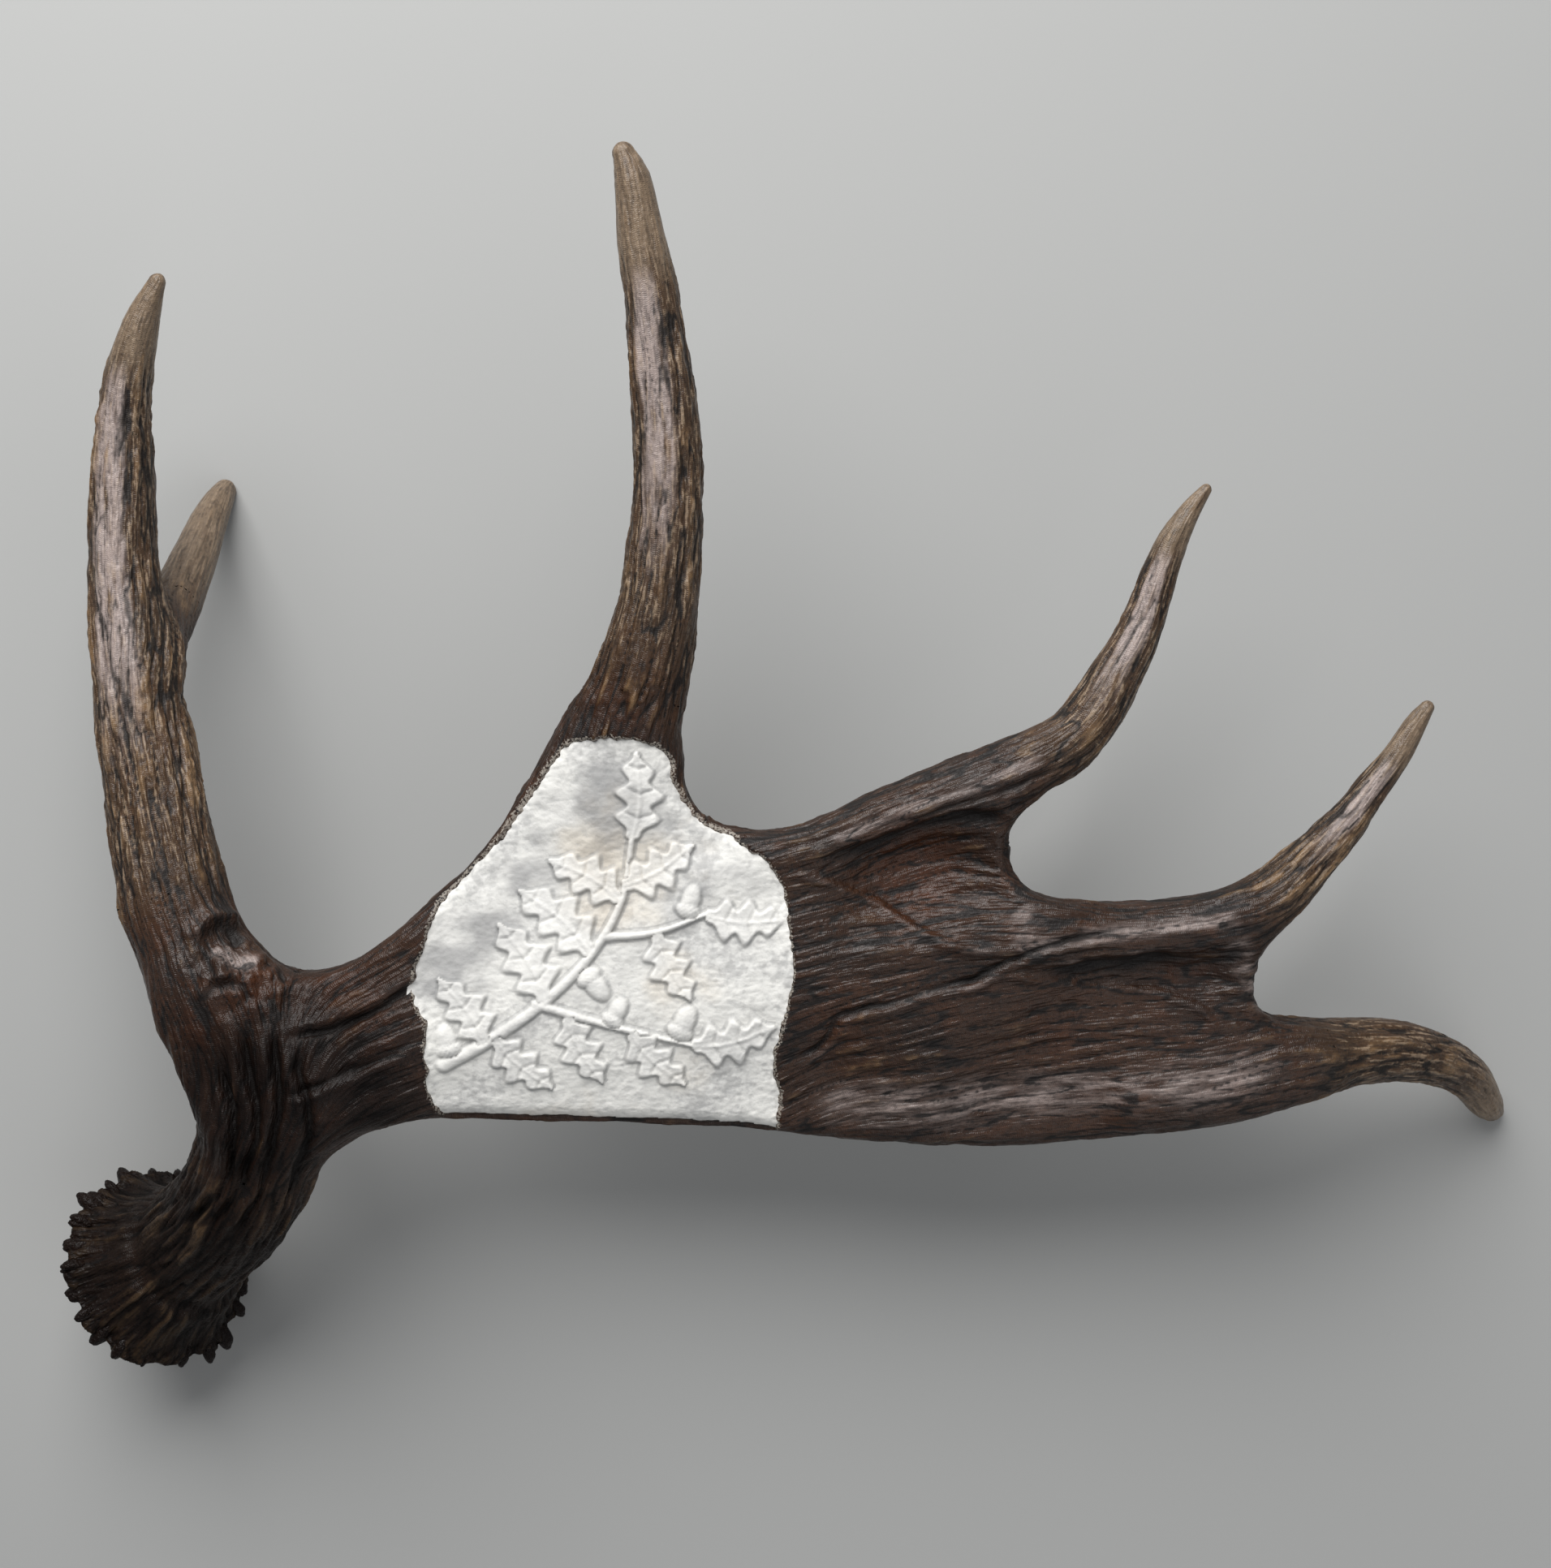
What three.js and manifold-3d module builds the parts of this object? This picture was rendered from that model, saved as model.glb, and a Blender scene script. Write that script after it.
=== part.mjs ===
// A moose antler, lying where it was shed: the burr, the tip of the brow spur and the tip of the end tine
// rest on the ground, and the palm arches between them.
//
// Millimetres, +Z up, +X from the burr towards the end tine. The origin is on the ground, at the middle of
// the antler's outline. The antler grew as one bone, and is parted here at its main forks.
//
// The form is one distance field: limbs of oval section along curves, the burr around the beam's foot, and
// the palm, a curved plate with an outline of its own, all blended where they meet. The limbs are skinned
// with rings cast onto that field, and the palm with a net of square cells.

import * as THREE from 'three';
import { mergeVertices } from 'three/addons/utils/BufferGeometryUtils.js';
import Module from 'manifold-3d';

const wasm = await Module();
wasm.setup();

// ---- Driving dimensions ----

const FORK_GAP = 0.3;      // clear space between two pieces that meet at a fork
const BLEND = 12;          // reach of the soft fillet where one limb grows out of another
const SEGMENT = 5;         // length of the straight steps that stand for a limb's curve
const STUB = 22;           // how far a limb is carried past its fork in the palm's field

// Each limb's stations: x, y, z of its middle line, half its width and half its thickness.
const LIMBS = {
  beam: [
    [-290, -216, 33, 27, 27], [-277, -208, 45, 26, 26], [-264, -197, 57, 26, 26],
    [-249, -183, 71, 26, 26], [-237, -165, 83, 26, 26], [-229, -149, 90, 26.5, 25],
    [-219, -134, 95, 28, 23], [-206, -122, 97, 29, 19], [-190, -113, 98, 28, 17],
    [-171, -107, 99, 24, 15],
  ],
  brow: [
    [-209, -123, 97, 26, 20], [-236, -97, 99, 25, 20], [-251, -78, 99, 23.5, 19],
    [-261, -58, 98, 22.5, 18], [-267, -38, 97, 22, 17.5], [-276, 5, 94, 20, 16.5],
    [-281, 32, 92, 18.5, 16], [-285, 65, 91, 16.5, 15], [-288, 95, 91, 14.2, 13.5],
    [-287, 130, 94, 12.8, 12], [-285, 162, 99, 10.4, 10.5], [-277, 190, 106, 7.6, 8],
    [-268, 208, 112, 3.4, 3.4],
  ],
  spur: [
    [-280, 53, 86, 12, 12], [-276, 71, 70, 11.5, 11.5], [-274, 89, 52, 10.8, 10.8],
    [-272, 105, 36, 9.8, 9.8], [-271, 119, 22, 8.4, 8.4], [-269, 131, 10.5, 6.6, 6.6],
    [-268, 137, 2.8, 5, 5],
  ],
  upper: [
    [-87, -14, 104, 26, 11], [-80, 13, 109, 26, 14], [-70, 39, 113, 20.3, 15],
    [-66, 53, 115, 18.6, 14.5], [-61, 75, 118, 16.5, 14], [-59, 93, 120, 15.5, 13.5],
    [-57, 112, 123, 14.5, 13], [-57, 143, 128, 13.8, 12.5], [-59, 167, 132, 12.8, 12],
    [-62, 192, 137, 11.2, 11], [-66, 215, 142, 10, 10], [-70, 242, 148, 7.1, 7.5],
    [-73, 250, 150, 4.5, 4.5],
  ],
  middle: [
    [-42, -37, 102, 8, 9], [2, -25, 103, 10, 11], [36, -12, 105, 12.5, 12], [69, 0, 106, 14, 13],
    [98, 12, 107, 13.3, 12.5], [110, 20, 107, 12.6, 12], [120, 32, 108, 11.6, 11.5],
    [128, 46, 108, 10.6, 10.5], [135, 58, 109, 9.6, 9.4], [140, 71, 110, 8.6, 8.5],
    [144, 84, 111, 7.9, 7.7], [151, 102, 113, 6.2, 6], [158, 114, 114, 4.2, 4.2],
    [164, 122, 115, 2.4, 2.4],
  ],
  side: [
    [29, -68, 100, 7, 8], [70, -65, 100, 9, 9], [104, -63, 99, 11, 12], [138, -62, 98, 11.5, 12],
    [169, -59, 97, 12.5, 12], [191, -50, 96, 13, 12], [201, -42, 96, 11.8, 11.5],
    [210, -33, 95, 10.6, 10.5], [217, -26, 95, 10, 10], [227, -15, 95, 8.6, 8.6],
    [236, -3, 95, 7, 6.8], [248, 13, 96, 5.8, 5.6], [256, 27, 97, 4.6, 4.5], [260, 33, 98, 3, 3],
  ],
  end: [
    [140, -131, 86, 12, 10], [175, -126, 85, 15, 11], [210, -117, 80, 16.3, 13],
    [242, -114, 71, 14.2, 12.5], [262, -116, 60, 12.8, 11.5], [280, -121, 47, 11.3, 10.5],
    [299, -131, 29.5, 10, 9.5], [312, -144, 13, 8, 8], [318, -149, 3.4, 5.8, 6],
  ],
};

// The main vein, a low cord that stands half proud of the palm's upper face.
const VEIN = {
  // x, y and radius.
  path: [
    [-4, -122, 2], [10, -115, 3.5], [35, -98, 4.5], [60, -90, 4.5], [83, -84, 4.5], [97, -75, 3.5],
    [111, -69, 2],
  ],
  inside: 92,              // a height that is within the palm all along the vein
  rings: 14,
  style: { sides: 8, ridges: 0, relief: 0 },
};

// How far along its limb each fork plane stands, and the block that clears what lies beyond it.
const FORKS = { beam: 101, brow: 97, spur: 36, upper: 57, middle: 151, side: 168, end: 82 };
const BLOCK = { side: 112, length: 90 };

const PALM = {
  // Corners of the plate's rounded outline in plan.
  outline: [
    [-240, -69], [-221, -79], [-195, -76], [-173, -62], [-147, -40], [-132, -23], [-116, -3], [-99, 15],
    [-75, 30], [-57, 16], [-53, -1], [-44, -12], [-28, -18], [2, -24], [36, -12], [70, 0], [91, 1],
    [84, -19], [86, -35], [99, -47], [124, -51], [159, -50], [189, -51], [189, -74], [189, -89],
    [197, -100], [225, -112], [225, -124], [208, -131], [162, -144], [107, -152], [72, -153],
    [20, -150], [-32, -144], [-102, -141], [-157, -139], [-181, -139], [-200, -144], [-223, -155],
    [-247, -145], [-256, -129], [-262, -113], [-269, -94], [-265, -77],
  ],
  // x, y, height of the plate's middle and half its thickness, blended between these places.
  plate: [
    [-240, -109, 96, 18], [-258, -85, 98, 17], [-234, -139, 92, 22], [-202, -123, 97, 19],
    [-175, -95, 99, 16], [-202, -84, 97, 13], [-147, -61, 101, 13], [-120, -24, 103, 11],
    [-133, -105, 101, 14], [-136, -137, 84, 13], [-82, 6, 106, 12], [-82, -51, 104, 12],
    [-83, -88, 102, 12], [-83, -116, 97, 13], [-84, -139, 80, 12], [-32, -38, 103, 11],
    [-32, -88, 101, 11], [-32, -120, 94, 11], [-32, -141, 80, 10], [2, -27, 102, 11],
    [47, -35, 93, 8], [43, -87, 100, 12], [47, -120, 93, 10], [20, -143, 79, 9], [72, -148, 77, 9],
    [86, -10, 104, 11], [77, -75, 99, 11], [105, -114, 90, 9], [107, -148, 76, 9], [157, -81, 89, 8],
    [157, -114, 89, 9], [159, -143, 76, 9], [190, -69, 94, 12], [199, -104, 84, 11],
    [211, -122, 79, 12],
  ],
  reach: 20,               // how far each of those places is felt
  edge: 7,                 // radius of the plate's rounded rim
  cell: 10.4,              // cell of the net that skins it
  box: [[-320, -230, 26], [283, 95, 150]],
};

// The carved panel: the outline in plan of the place where the bark is cut away, and how deep.
const PANEL = {
  depth: 1.6,
  outline: [
    [-100, 16], [-82, 19], [-62, 16], [-55, 6], [-49, -8], [-42, -16], [-29, -21], [-15, -32],
    [-10, -44], [-7, -61], [-5, -75], [-7, -92], [-11, -107], [-14, -121], [-19, -133], [-31, -135],
    [-55, -134], [-82, -133], [-108, -132], [-136, -132], [-151, -131], [-158, -124], [-156, -111],
    [-160, -92], [-162, -81], [-158, -63], [-149, -45], [-132, -28], [-122, -14], [-110, 1],
  ],
  lowest: 66,              // the cut stays above this height
  height: 60,              // and reaches this far up from there, clear of the palm
};

// The burr: a flared collar around the beam's foot, ringed with pearls.
const BURR = {
  radius: 42,              // to the rim, without the pearls
  flare: 13,               // length over which the flare dies away up the beam
  rim: 3.5,                // from the rim's middle to its underside
  dome: 6,                 // how far the seat bulges below the rim
  reach: 26,               // how far up the beam the collar goes
  soft: 5,                 // rounding of the rim
  // Each pearl's angle in degrees, rise and half-width in degrees.
  pearls: [
    [8, 3, 9], [33, 2, 10], [62, 3.5, 12], [95, 4.5, 9], [128, 4, 12], [158, 2, 8], [186, 4.5, 12],
    [212, 2.5, 7], [232, 4, 10], [252, 3, 7], [270, 4, 10], [292, 3, 8], [316, 4, 12], [344, 3.5, 9],
  ],
};

// The pieces that are skinned with rings: how many, the points on each, and the lengthwise ridges.
const SKINS = {
  beam_and_burr: { limb: 'beam', rings: 14, sides: 48, ridges: 13, relief: 0.9, colour: 0x3a2a20 },
  brow_tine: { limb: 'brow', rings: 22, sides: 20, ridges: 7, relief: 0.9, colour: 0x3d2c22 },
  brow_spur: { limb: 'spur', rings: 10, sides: 16, ridges: 5, relief: 0.5, colour: 0x8b7154 },
  upper_tine: { limb: 'upper', rings: 22, sides: 20, ridges: 7, relief: 0.8, colour: 0x46362c },
  middle_tine: { limb: 'middle', rings: 16, sides: 16, ridges: 5, relief: 0.5, colour: 0x45352b },
  side_tine: { limb: 'side', rings: 14, sides: 16, ridges: 5, relief: 0.4, colour: 0x4a382c },
  end_tine: { limb: 'end', rings: 16, sides: 16, ridges: 5, relief: 0.5, colour: 0x4b3a30 },
};
const BURR_RINGS = [-9, -7.5, -5.5, -3.5, -1, 2, 6, 11, 18, 27];  // distances from the burr's plane
const ROOT_RINGS = 4;      // rings on the spur's root
const TWIST = [[1.3, 31], [0.5, 13]];  // how the ridges wander: turn in radians, length in mm
const PALM_COLOUR = 0x4a382d;
const ROUGHNESS = 0.6;

// ---- The field ----

function smoothMin(a, b, reach) {
  const h = Math.max(reach - Math.abs(a - b), 0) / reach;
  return Math.min(a, b) - (h * h * reach) / 4;
}

// A limb: its section at any distance along it, and the short segments that stand for it in the field.
function makeLimb(stations) {
  const line = new THREE.CatmullRomCurve3(stations.map(([x, y, z]) => new THREE.Vector3(x, y, z)));
  const size = new THREE.CatmullRomCurve3(stations.map((s) => new THREE.Vector3(s[3], s[4], 0)));
  const length = line.getLength();
  const at = (distance) => {
    const inside = THREE.MathUtils.clamp(distance, 0, length);
    const t = line.getUtoTmapping(inside / length);
    const along = line.getTangent(t);
    const across = new THREE.Vector3(0, 0, 1).cross(along).normalize();
    const up = along.clone().cross(across);
    const section = size.getPoint(t);
    const point = line.getPoint(t).addScaledVector(along, distance - inside);
    return { point, along, across, up, width: section.x, thick: section.y };
  };
  return { at, length, joints: jointsOf(at, 0, length) };
}

function jointsOf(at, from, to) {
  const count = Math.max(2, Math.ceil((to - from) / SEGMENT));
  return Array.from({ length: count + 1 }, (_, i) => at(from + ((to - from) * i) / count));
}

// Distance from a point to the oval skin of a limb.
function limbDistance({ joints }, p) {
  let nearest = Infinity;
  let segment = 0;
  let share = 0;
  for (let i = 0; i + 1 < joints.length; i += 1) {
    const a = joints[i].point;
    const b = joints[i + 1].point;
    const [dx, dy, dz] = [b.x - a.x, b.y - a.y, b.z - a.z];
    const along = (p.x - a.x) * dx + (p.y - a.y) * dy + (p.z - a.z) * dz;
    const t = THREE.MathUtils.clamp(along / (dx * dx + dy * dy + dz * dz), 0, 1);
    const gap = Math.hypot(a.x + dx * t - p.x, a.y + dy * t - p.y, a.z + dz * t - p.z);
    if (gap < nearest) {
      nearest = gap;
      segment = i;
      share = t;
    }
  }
  const a = joints[segment];
  const b = joints[segment + 1];
  const width = THREE.MathUtils.lerp(a.width, b.width, share);
  const thick = THREE.MathUtils.lerp(a.thick, b.thick, share);
  const small = Math.min(width, thick);
  const offset = p.clone().sub(a.point.clone().lerp(b.point, share));
  const reach = Math.hypot(
    offset.dot(a.across) / width,
    offset.dot(a.up) / thick,
    offset.dot(a.along) / small,
  );
  return (reach - 1) * small;
}

// The burr in the frame of the beam's foot: a collar that flares to the pearled rim, over a domed seat.
function burrDistance(frame, p) {
  const offset = p.clone().sub(frame.point);
  const height = offset.dot(frame.along);
  const across = offset.dot(frame.across);
  const up = offset.dot(frame.up);
  const angle = THREE.MathUtils.radToDeg(Math.atan2(up, across));
  let lobe = 0;
  for (const [middle, rise, half] of BURR.pearls) {
    const turn = THREE.MathUtils.euclideanModulo(angle - middle + 180, 360) - 180;
    lobe += rise * Math.exp(-((turn / half) ** 2));
  }
  const fade = Math.exp(-Math.max(height, 0) / BURR.flare);
  const radial = Math.hypot(across, up);
  const side = radial - frame.width - (BURR.radius - frame.width + lobe) * fade;
  const seat = -height - BURR.rim - BURR.dome * (1 - (radial / BURR.radius) ** 2);
  return -smoothMin(-side, -Math.max(seat, height - BURR.reach), BURR.soft);
}

const outlineOf = (corners, steps) => new THREE.CatmullRomCurve3(
  corners.map(([x, y]) => new THREE.Vector3(x, y, 0)),
  true,
).getPoints(corners.length * steps);

const palmOutline = outlineOf(PALM.outline, 3);

// Distance to the palm's outline in plan, negative inside it.
function outlineDistance(x, y) {
  let nearest = Infinity;
  let inside = false;
  for (let i = 0; i + 1 < palmOutline.length; i += 1) {
    const a = palmOutline[i];
    const b = palmOutline[i + 1];
    const [dx, dy] = [b.x - a.x, b.y - a.y];
    const t = THREE.MathUtils.clamp(((x - a.x) * dx + (y - a.y) * dy) / (dx * dx + dy * dy), 0, 1);
    nearest = Math.min(nearest, Math.hypot(a.x + dx * t - x, a.y + dy * t - y));
    if (a.y > y !== b.y > y && x < a.x + ((y - a.y) / dy) * dx) {
      inside = !inside;
    }
  }
  return inside ? -nearest : nearest;
}

function plateDistance(p) {
  let total = 0;
  let middle = 0;
  let half = 0;
  for (const [x, y, height, thick] of PALM.plate) {
    const weight = Math.exp(-((p.x - x) ** 2 + (p.y - y) ** 2) / (2 * PALM.reach ** 2)) + 1e-9;
    total += weight;
    middle += weight * height;
    half += weight * thick;
  }
  const over = Math.max(Math.abs(p.z - middle / total) - (half / total - PALM.edge), 0);
  return Math.hypot(Math.max(outlineDistance(p.x, p.y) + PALM.edge, 0), over) - PALM.edge;
}

function makeField(limbs, burrFrame) {
  return (p) => {
    let distance = plateDistance(p);
    for (const limb of limbs) {
      distance = smoothMin(distance, limbDistance(limb, p), BLEND);
    }
    return burrFrame ? smoothMin(distance, burrDistance(burrFrame, p), BURR.soft) : distance;
  };
}

// ---- Skins and solids ----

function indexed(points, faces) {
  const geometry = new THREE.BufferGeometry();
  geometry.setAttribute('position', new THREE.Float32BufferAttribute(points.flatMap((p) => p.toArray()), 3));
  geometry.setIndex(faces.flat());
  return geometry;
}

function toSolid(geometry) {
  geometry.deleteAttribute('normal');
  geometry.deleteAttribute('uv');
  const merged = mergeVertices(geometry, 1e-4);
  return new wasm.Manifold(new wasm.Mesh({
    numProp: 3,
    vertProperties: merged.attributes.position.array,
    triVerts: new Uint32Array(merged.index.array),
  }));
}

function toMesh(name, solid, color) {
  const { vertProperties, triVerts } = solid.getMesh();
  const geometry = new THREE.BufferGeometry();
  geometry.setAttribute('position', new THREE.BufferAttribute(vertProperties, 3));
  geometry.setIndex(new THREE.BufferAttribute(triVerts, 1));
  geometry.computeVertexNormals();
  const material = new THREE.MeshStandardMaterial({ color, roughness: ROUGHNESS, metalness: 0 });
  const mesh = new THREE.Mesh(geometry, material);
  mesh.name = name;
  return mesh;
}

const RAY_STEPS = 24;      // coarse steps along a ray
const HALVINGS = 12;       // times the last step is halved
const TIP_REACH = 20;      // no free end's cap rises further than this

// How far a ray goes before it leaves the form.
function cast(field, from, direction, limit) {
  const outsideAt = (t) => field(direction.clone().multiplyScalar(t).add(from)) > 0;
  const step = limit / RAY_STEPS;
  let inside = 0;
  while (inside + step < limit && !outsideAt(inside + step)) {
    inside += step;
  }
  let outside = inside + step;
  for (let i = 0; i < HALVINGS; i += 1) {
    const middle = (inside + outside) / 2;
    if (outsideAt(middle)) {
      outside = middle;
    } else {
      inside = middle;
    }
  }
  return inside;
}

// Rings along a limb at the given distances. An end is closed on one point: on the middle line where
// the limb is parted at a fork, and on the form's own surface where the end is free.
function skin(limb, distances, field, { sides, ridges, relief }, freeStart, freeEnd) {
  const points = [];
  const last = distances.length - 1;
  const rings = distances.map((distance, ring) => {
    const frame = limb.at(distance);
    const fade = Math.min(1, ring / 3, (last - ring) / 3);
    const drift = TWIST.reduce((sum, [turn, length]) => sum + turn * Math.sin(distance / length), 0);
    return Array.from({ length: sides }, (_, i) => {
      const angle = (i / sides) * Math.PI * 2;
      const direction = frame.across.clone().multiplyScalar(Math.cos(angle))
        .addScaledVector(frame.up, Math.sin(angle));
      const reach = cast(field, frame.point, direction, 3 * frame.width + TIP_REACH);
      const ridge = relief * fade * Math.cos(ridges * angle + drift);
      points.push(direction.multiplyScalar(reach + ridge).add(frame.point));
      return points.length - 1;
    });
  });
  const close = (distance, free, sign) => {
    const frame = limb.at(distance);
    const out = frame.along.clone().multiplyScalar(sign);
    const rise = free ? cast(field, frame.point, out, TIP_REACH) : 0;
    points.push(out.multiplyScalar(rise).add(frame.point));
    return points.length - 1;
  };
  const start = close(distances[0], freeStart, -1);
  const end = close(distances[last], freeEnd, 1);
  const faces = [];
  for (let i = 0; i < sides; i += 1) {
    const next = (i + 1) % sides;
    faces.push([start, rings[0][next], rings[0][i]], [end, rings[last][i], rings[last][next]]);
    for (let ring = 0; ring < last; ring += 1) {
      const [a, b, c, d] = [rings[ring][i], rings[ring][next], rings[ring + 1][next], rings[ring + 1][i]];
      faces.push([a, b, c], [a, c, d]);
    }
  }
  return toSolid(indexed(points, faces));
}

const CORNERS = [0, 1, 2, 3, 4, 5, 6, 7].map((n) => [n & 1, (n >> 1) & 1, n >> 2]);
const EDGES = CORNERS.flatMap((a, m) => CORNERS.map((b, n) => [m, n])
  .filter(([, n]) => m < n && Math.hypot(...a.map((v, axis) => v - CORNERS[n][axis])) === 1));
const STEPS = [[1, 0, 0], [0, 1, 0], [0, 0, 1]];
const NUDGE = 0.5;         // step for the slope of a field
const LEAP = 3;            // the most that a point moves in one go
const ROUNDS = 3;

// Moves a point straight onto the surface of a field.
function settle(field, point) {
  for (let round = 0; round < ROUNDS; round += 1) {
    const value = field(point);
    const slope = new THREE.Vector3(...STEPS.map((step) => (
      field(point.clone().addScaledVector(new THREE.Vector3(...step), NUDGE)) - value) / NUDGE));
    point.addScaledVector(slope, THREE.MathUtils.clamp(-value / slope.lengthSq(), -LEAP, LEAP));
  }
  return point;
}

// A net of square cells over the surface of a field, inside a box.
function net(field, [low, high], cell) {
  const counts = low.map((v, axis) => Math.ceil((high[axis] - v) / cell) + 1);
  const key = ([i, j, k]) => (k * counts[1] + j) * counts[0] + i;
  const place = (at) => new THREE.Vector3(...at.map((n, axis) => low[axis] + n * cell));
  const everyCell = (from, visit) => {
    for (let k = from; k + 1 < counts[2]; k += 1) {
      for (let j = from; j + 1 < counts[1]; j += 1) {
        for (let i = from; i + 1 < counts[0]; i += 1) {
          visit([i, j, k]);
        }
      }
    }
  };
  const shifted = (at, by) => at.map((n, axis) => n + by[axis]);
  const values = new Map();
  const valueAt = (at) => {
    if (!values.has(key(at))) {
      values.set(key(at), field(place(at)));
    }
    return values.get(key(at));
  };
  const points = [];
  const pointOf = new Map();
  everyCell(0, (at) => {
    const middle = new THREE.Vector3();
    let crossings = 0;
    for (const [m, n] of EDGES) {
      const [a, b] = [shifted(at, CORNERS[m]), shifted(at, CORNERS[n])];
      const [va, vb] = [valueAt(a), valueAt(b)];
      if (va < 0 !== vb < 0) {
        middle.add(place(a).lerp(place(b), va / (va - vb)));
        crossings += 1;
      }
    }
    if (crossings) {
      pointOf.set(key(at), points.length);
      points.push(settle(field, middle.divideScalar(crossings)));
    }
  });
  const faces = [];
  everyCell(1, (at) => {
    STEPS.forEach((step, axis) => {
      const inside = valueAt(at) < 0;
      if (inside === valueAt(shifted(at, step)) < 0) {
        return;
      }
      const [u, v] = [STEPS[(axis + 1) % 3], STEPS[(axis + 2) % 3]];
      const around = [[0, 0], [1, 0], [1, 1], [0, 1]].map(([p, q]) => pointOf.get(
        key(at.map((n, side) => n - p * u[side] - q * v[side])),
      ));
      const [a, b, c, d] = inside ? around : around.reverse();
      faces.push([a, b, c], [a, c, d]);
    });
  });
  return indexed(points, faces);
}

const evenly = (from, to, count) => (
  Array.from({ length: count }, (_, i) => from + ((to - from) * i) / (count - 1)));

// The vein as a round cord along the top of a field.
function makeVein(field) {
  const up = new THREE.Vector3(0, 0, 1);
  const stations = VEIN.path.map(([x, y, radius]) => {
    const middle = new THREE.Vector3(x, y, VEIN.inside);
    const top = VEIN.inside + cast(field, middle, up, TIP_REACH);
    return [x, y, top - radius / 2, radius, radius];
  });
  const limb = makeLimb(stations);
  const distances = evenly(0, limb.length, VEIN.rings);
  return skin(limb, distances, (p) => limbDistance(limb, p), VEIN.style, true, true);
}

// A block that covers what lies beyond a fork plane, on the side that `sign` says.
function beyond(frame, sign) {
  const block = new THREE.BoxGeometry(BLOCK.side, BLOCK.side, BLOCK.length);
  block.translate(0, 0, (sign * (BLOCK.length - FORK_GAP)) / 2);
  const turn = new THREE.Matrix4().makeBasis(frame.across, frame.up, frame.along);
  return toSolid(block.applyMatrix4(turn.setPosition(frame.point)));
}

// ---- Pieces ----

const limbs = {};
for (const [name, stations] of Object.entries(LIMBS)) {
  limbs[name] = makeLimb(stations);
}
const burrFrame = limbs.beam.at(0);
const trunk = Object.keys(LIMBS).filter((name) => name !== 'spur');
const wholeField = makeField(trunk.map((name) => limbs[name]), burrFrame);
const spurField = (p) => limbDistance(limbs.spur, p);
const ground = toSolid(new THREE.BoxGeometry(1000, 1000, 100).translate(0, 0, -50));

function makeBeam() {
  const style = SKINS.beam_and_burr;
  const end = FORKS.beam - FORK_GAP / 2;
  const last = BURR_RINGS.at(-1);
  const above = evenly(last, end, style.rings - BURR_RINGS.length + 1).slice(1);
  return skin(limbs.beam, [...BURR_RINGS, ...above], wholeField, style, true, false);
}

function makeTine(name) {
  const style = SKINS[name];
  const limb = limbs[style.limb];
  const field = style.limb === 'spur' ? spurField : wholeField;
  const distances = evenly(FORKS[style.limb] + FORK_GAP / 2, limb.length, style.rings);
  return skin(limb, distances, field, style, false, true);
}

// The brow tine keeps the spur's root.
function makeBrowTine() {
  const distances = evenly(0, FORKS.spur - FORK_GAP / 2, ROOT_RINGS);
  const style = { ...SKINS.brow_spur, relief: 0 };
  return makeTine('brow_tine').add(skin(limbs.spur, distances, spurField, style, true, false));
}

// The palm with the stubs of its limbs, parted at the forks, and with the bark cut away in the panel.
function makePalm() {
  const near = trunk.map((name) => {
    const { at, length } = limbs[name];
    const fork = FORKS[name];
    const [from, to] = name === 'beam' ? [fork - STUB, length] : [0, Math.min(fork + STUB, length)];
    return { joints: jointsOf(at, from, to) };
  });
  const field = makeField(near, null);
  const bark = net(field, PALM.box, PALM.cell);
  const sunk = bark.clone().translate(0, 0, -PANEL.depth);
  const shape = new THREE.Shape(outlineOf(PANEL.outline, 2).map(({ x, y }) => new THREE.Vector2(x, y)));
  const prism = new THREE.ExtrudeGeometry(shape, { depth: PANEL.height, bevelEnabled: false });
  const panel = toSolid(prism.translate(0, 0, PANEL.lowest));
  let palm = toSolid(bark).subtract(panel.subtract(toSolid(sunk))).add(makeVein(field));
  for (const [name, distance] of Object.entries(FORKS)) {
    if (name !== 'spur') {
      palm = palm.subtract(beyond(limbs[name].at(distance), name === 'beam' ? -1 : 1));
    }
  }
  return palm;
}

const makers = {
  beam_and_burr: makeBeam,
  brow_tine: makeBrowTine,
  brow_spur: () => makeTine('brow_spur'),
  upper_tine: () => makeTine('upper_tine'),
  middle_tine: () => makeTine('middle_tine'),
  side_tine: () => makeTine('side_tine'),
  end_tine: () => makeTine('end_tine'),
};

const antler = new THREE.Group();
for (const [name, make] of Object.entries(makers)) {
  antler.add(toMesh(name, make().subtract(ground), SKINS[name].colour));
}
antler.add(toMesh('palm', makePalm(), PALM_COLOUR));

export default antler;
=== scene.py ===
"""A moose antler that lies on its burr and two tips, with a carved panel of bare bone in its palm.

The antler is one bone, so its skin is grown once, over the same distance field as the solids: limbs of
oval section along curves, the burr, and the curved plate of the palm. The ridges follow the way the bone
grew. The skin is then parted at the forks, one piece for each solid. The carved panel is a finer piece of
its own, let into the palm.

Sizes are millimetres until a mesh is made, and +Z is up.
"""

import math
from functools import lru_cache

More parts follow.
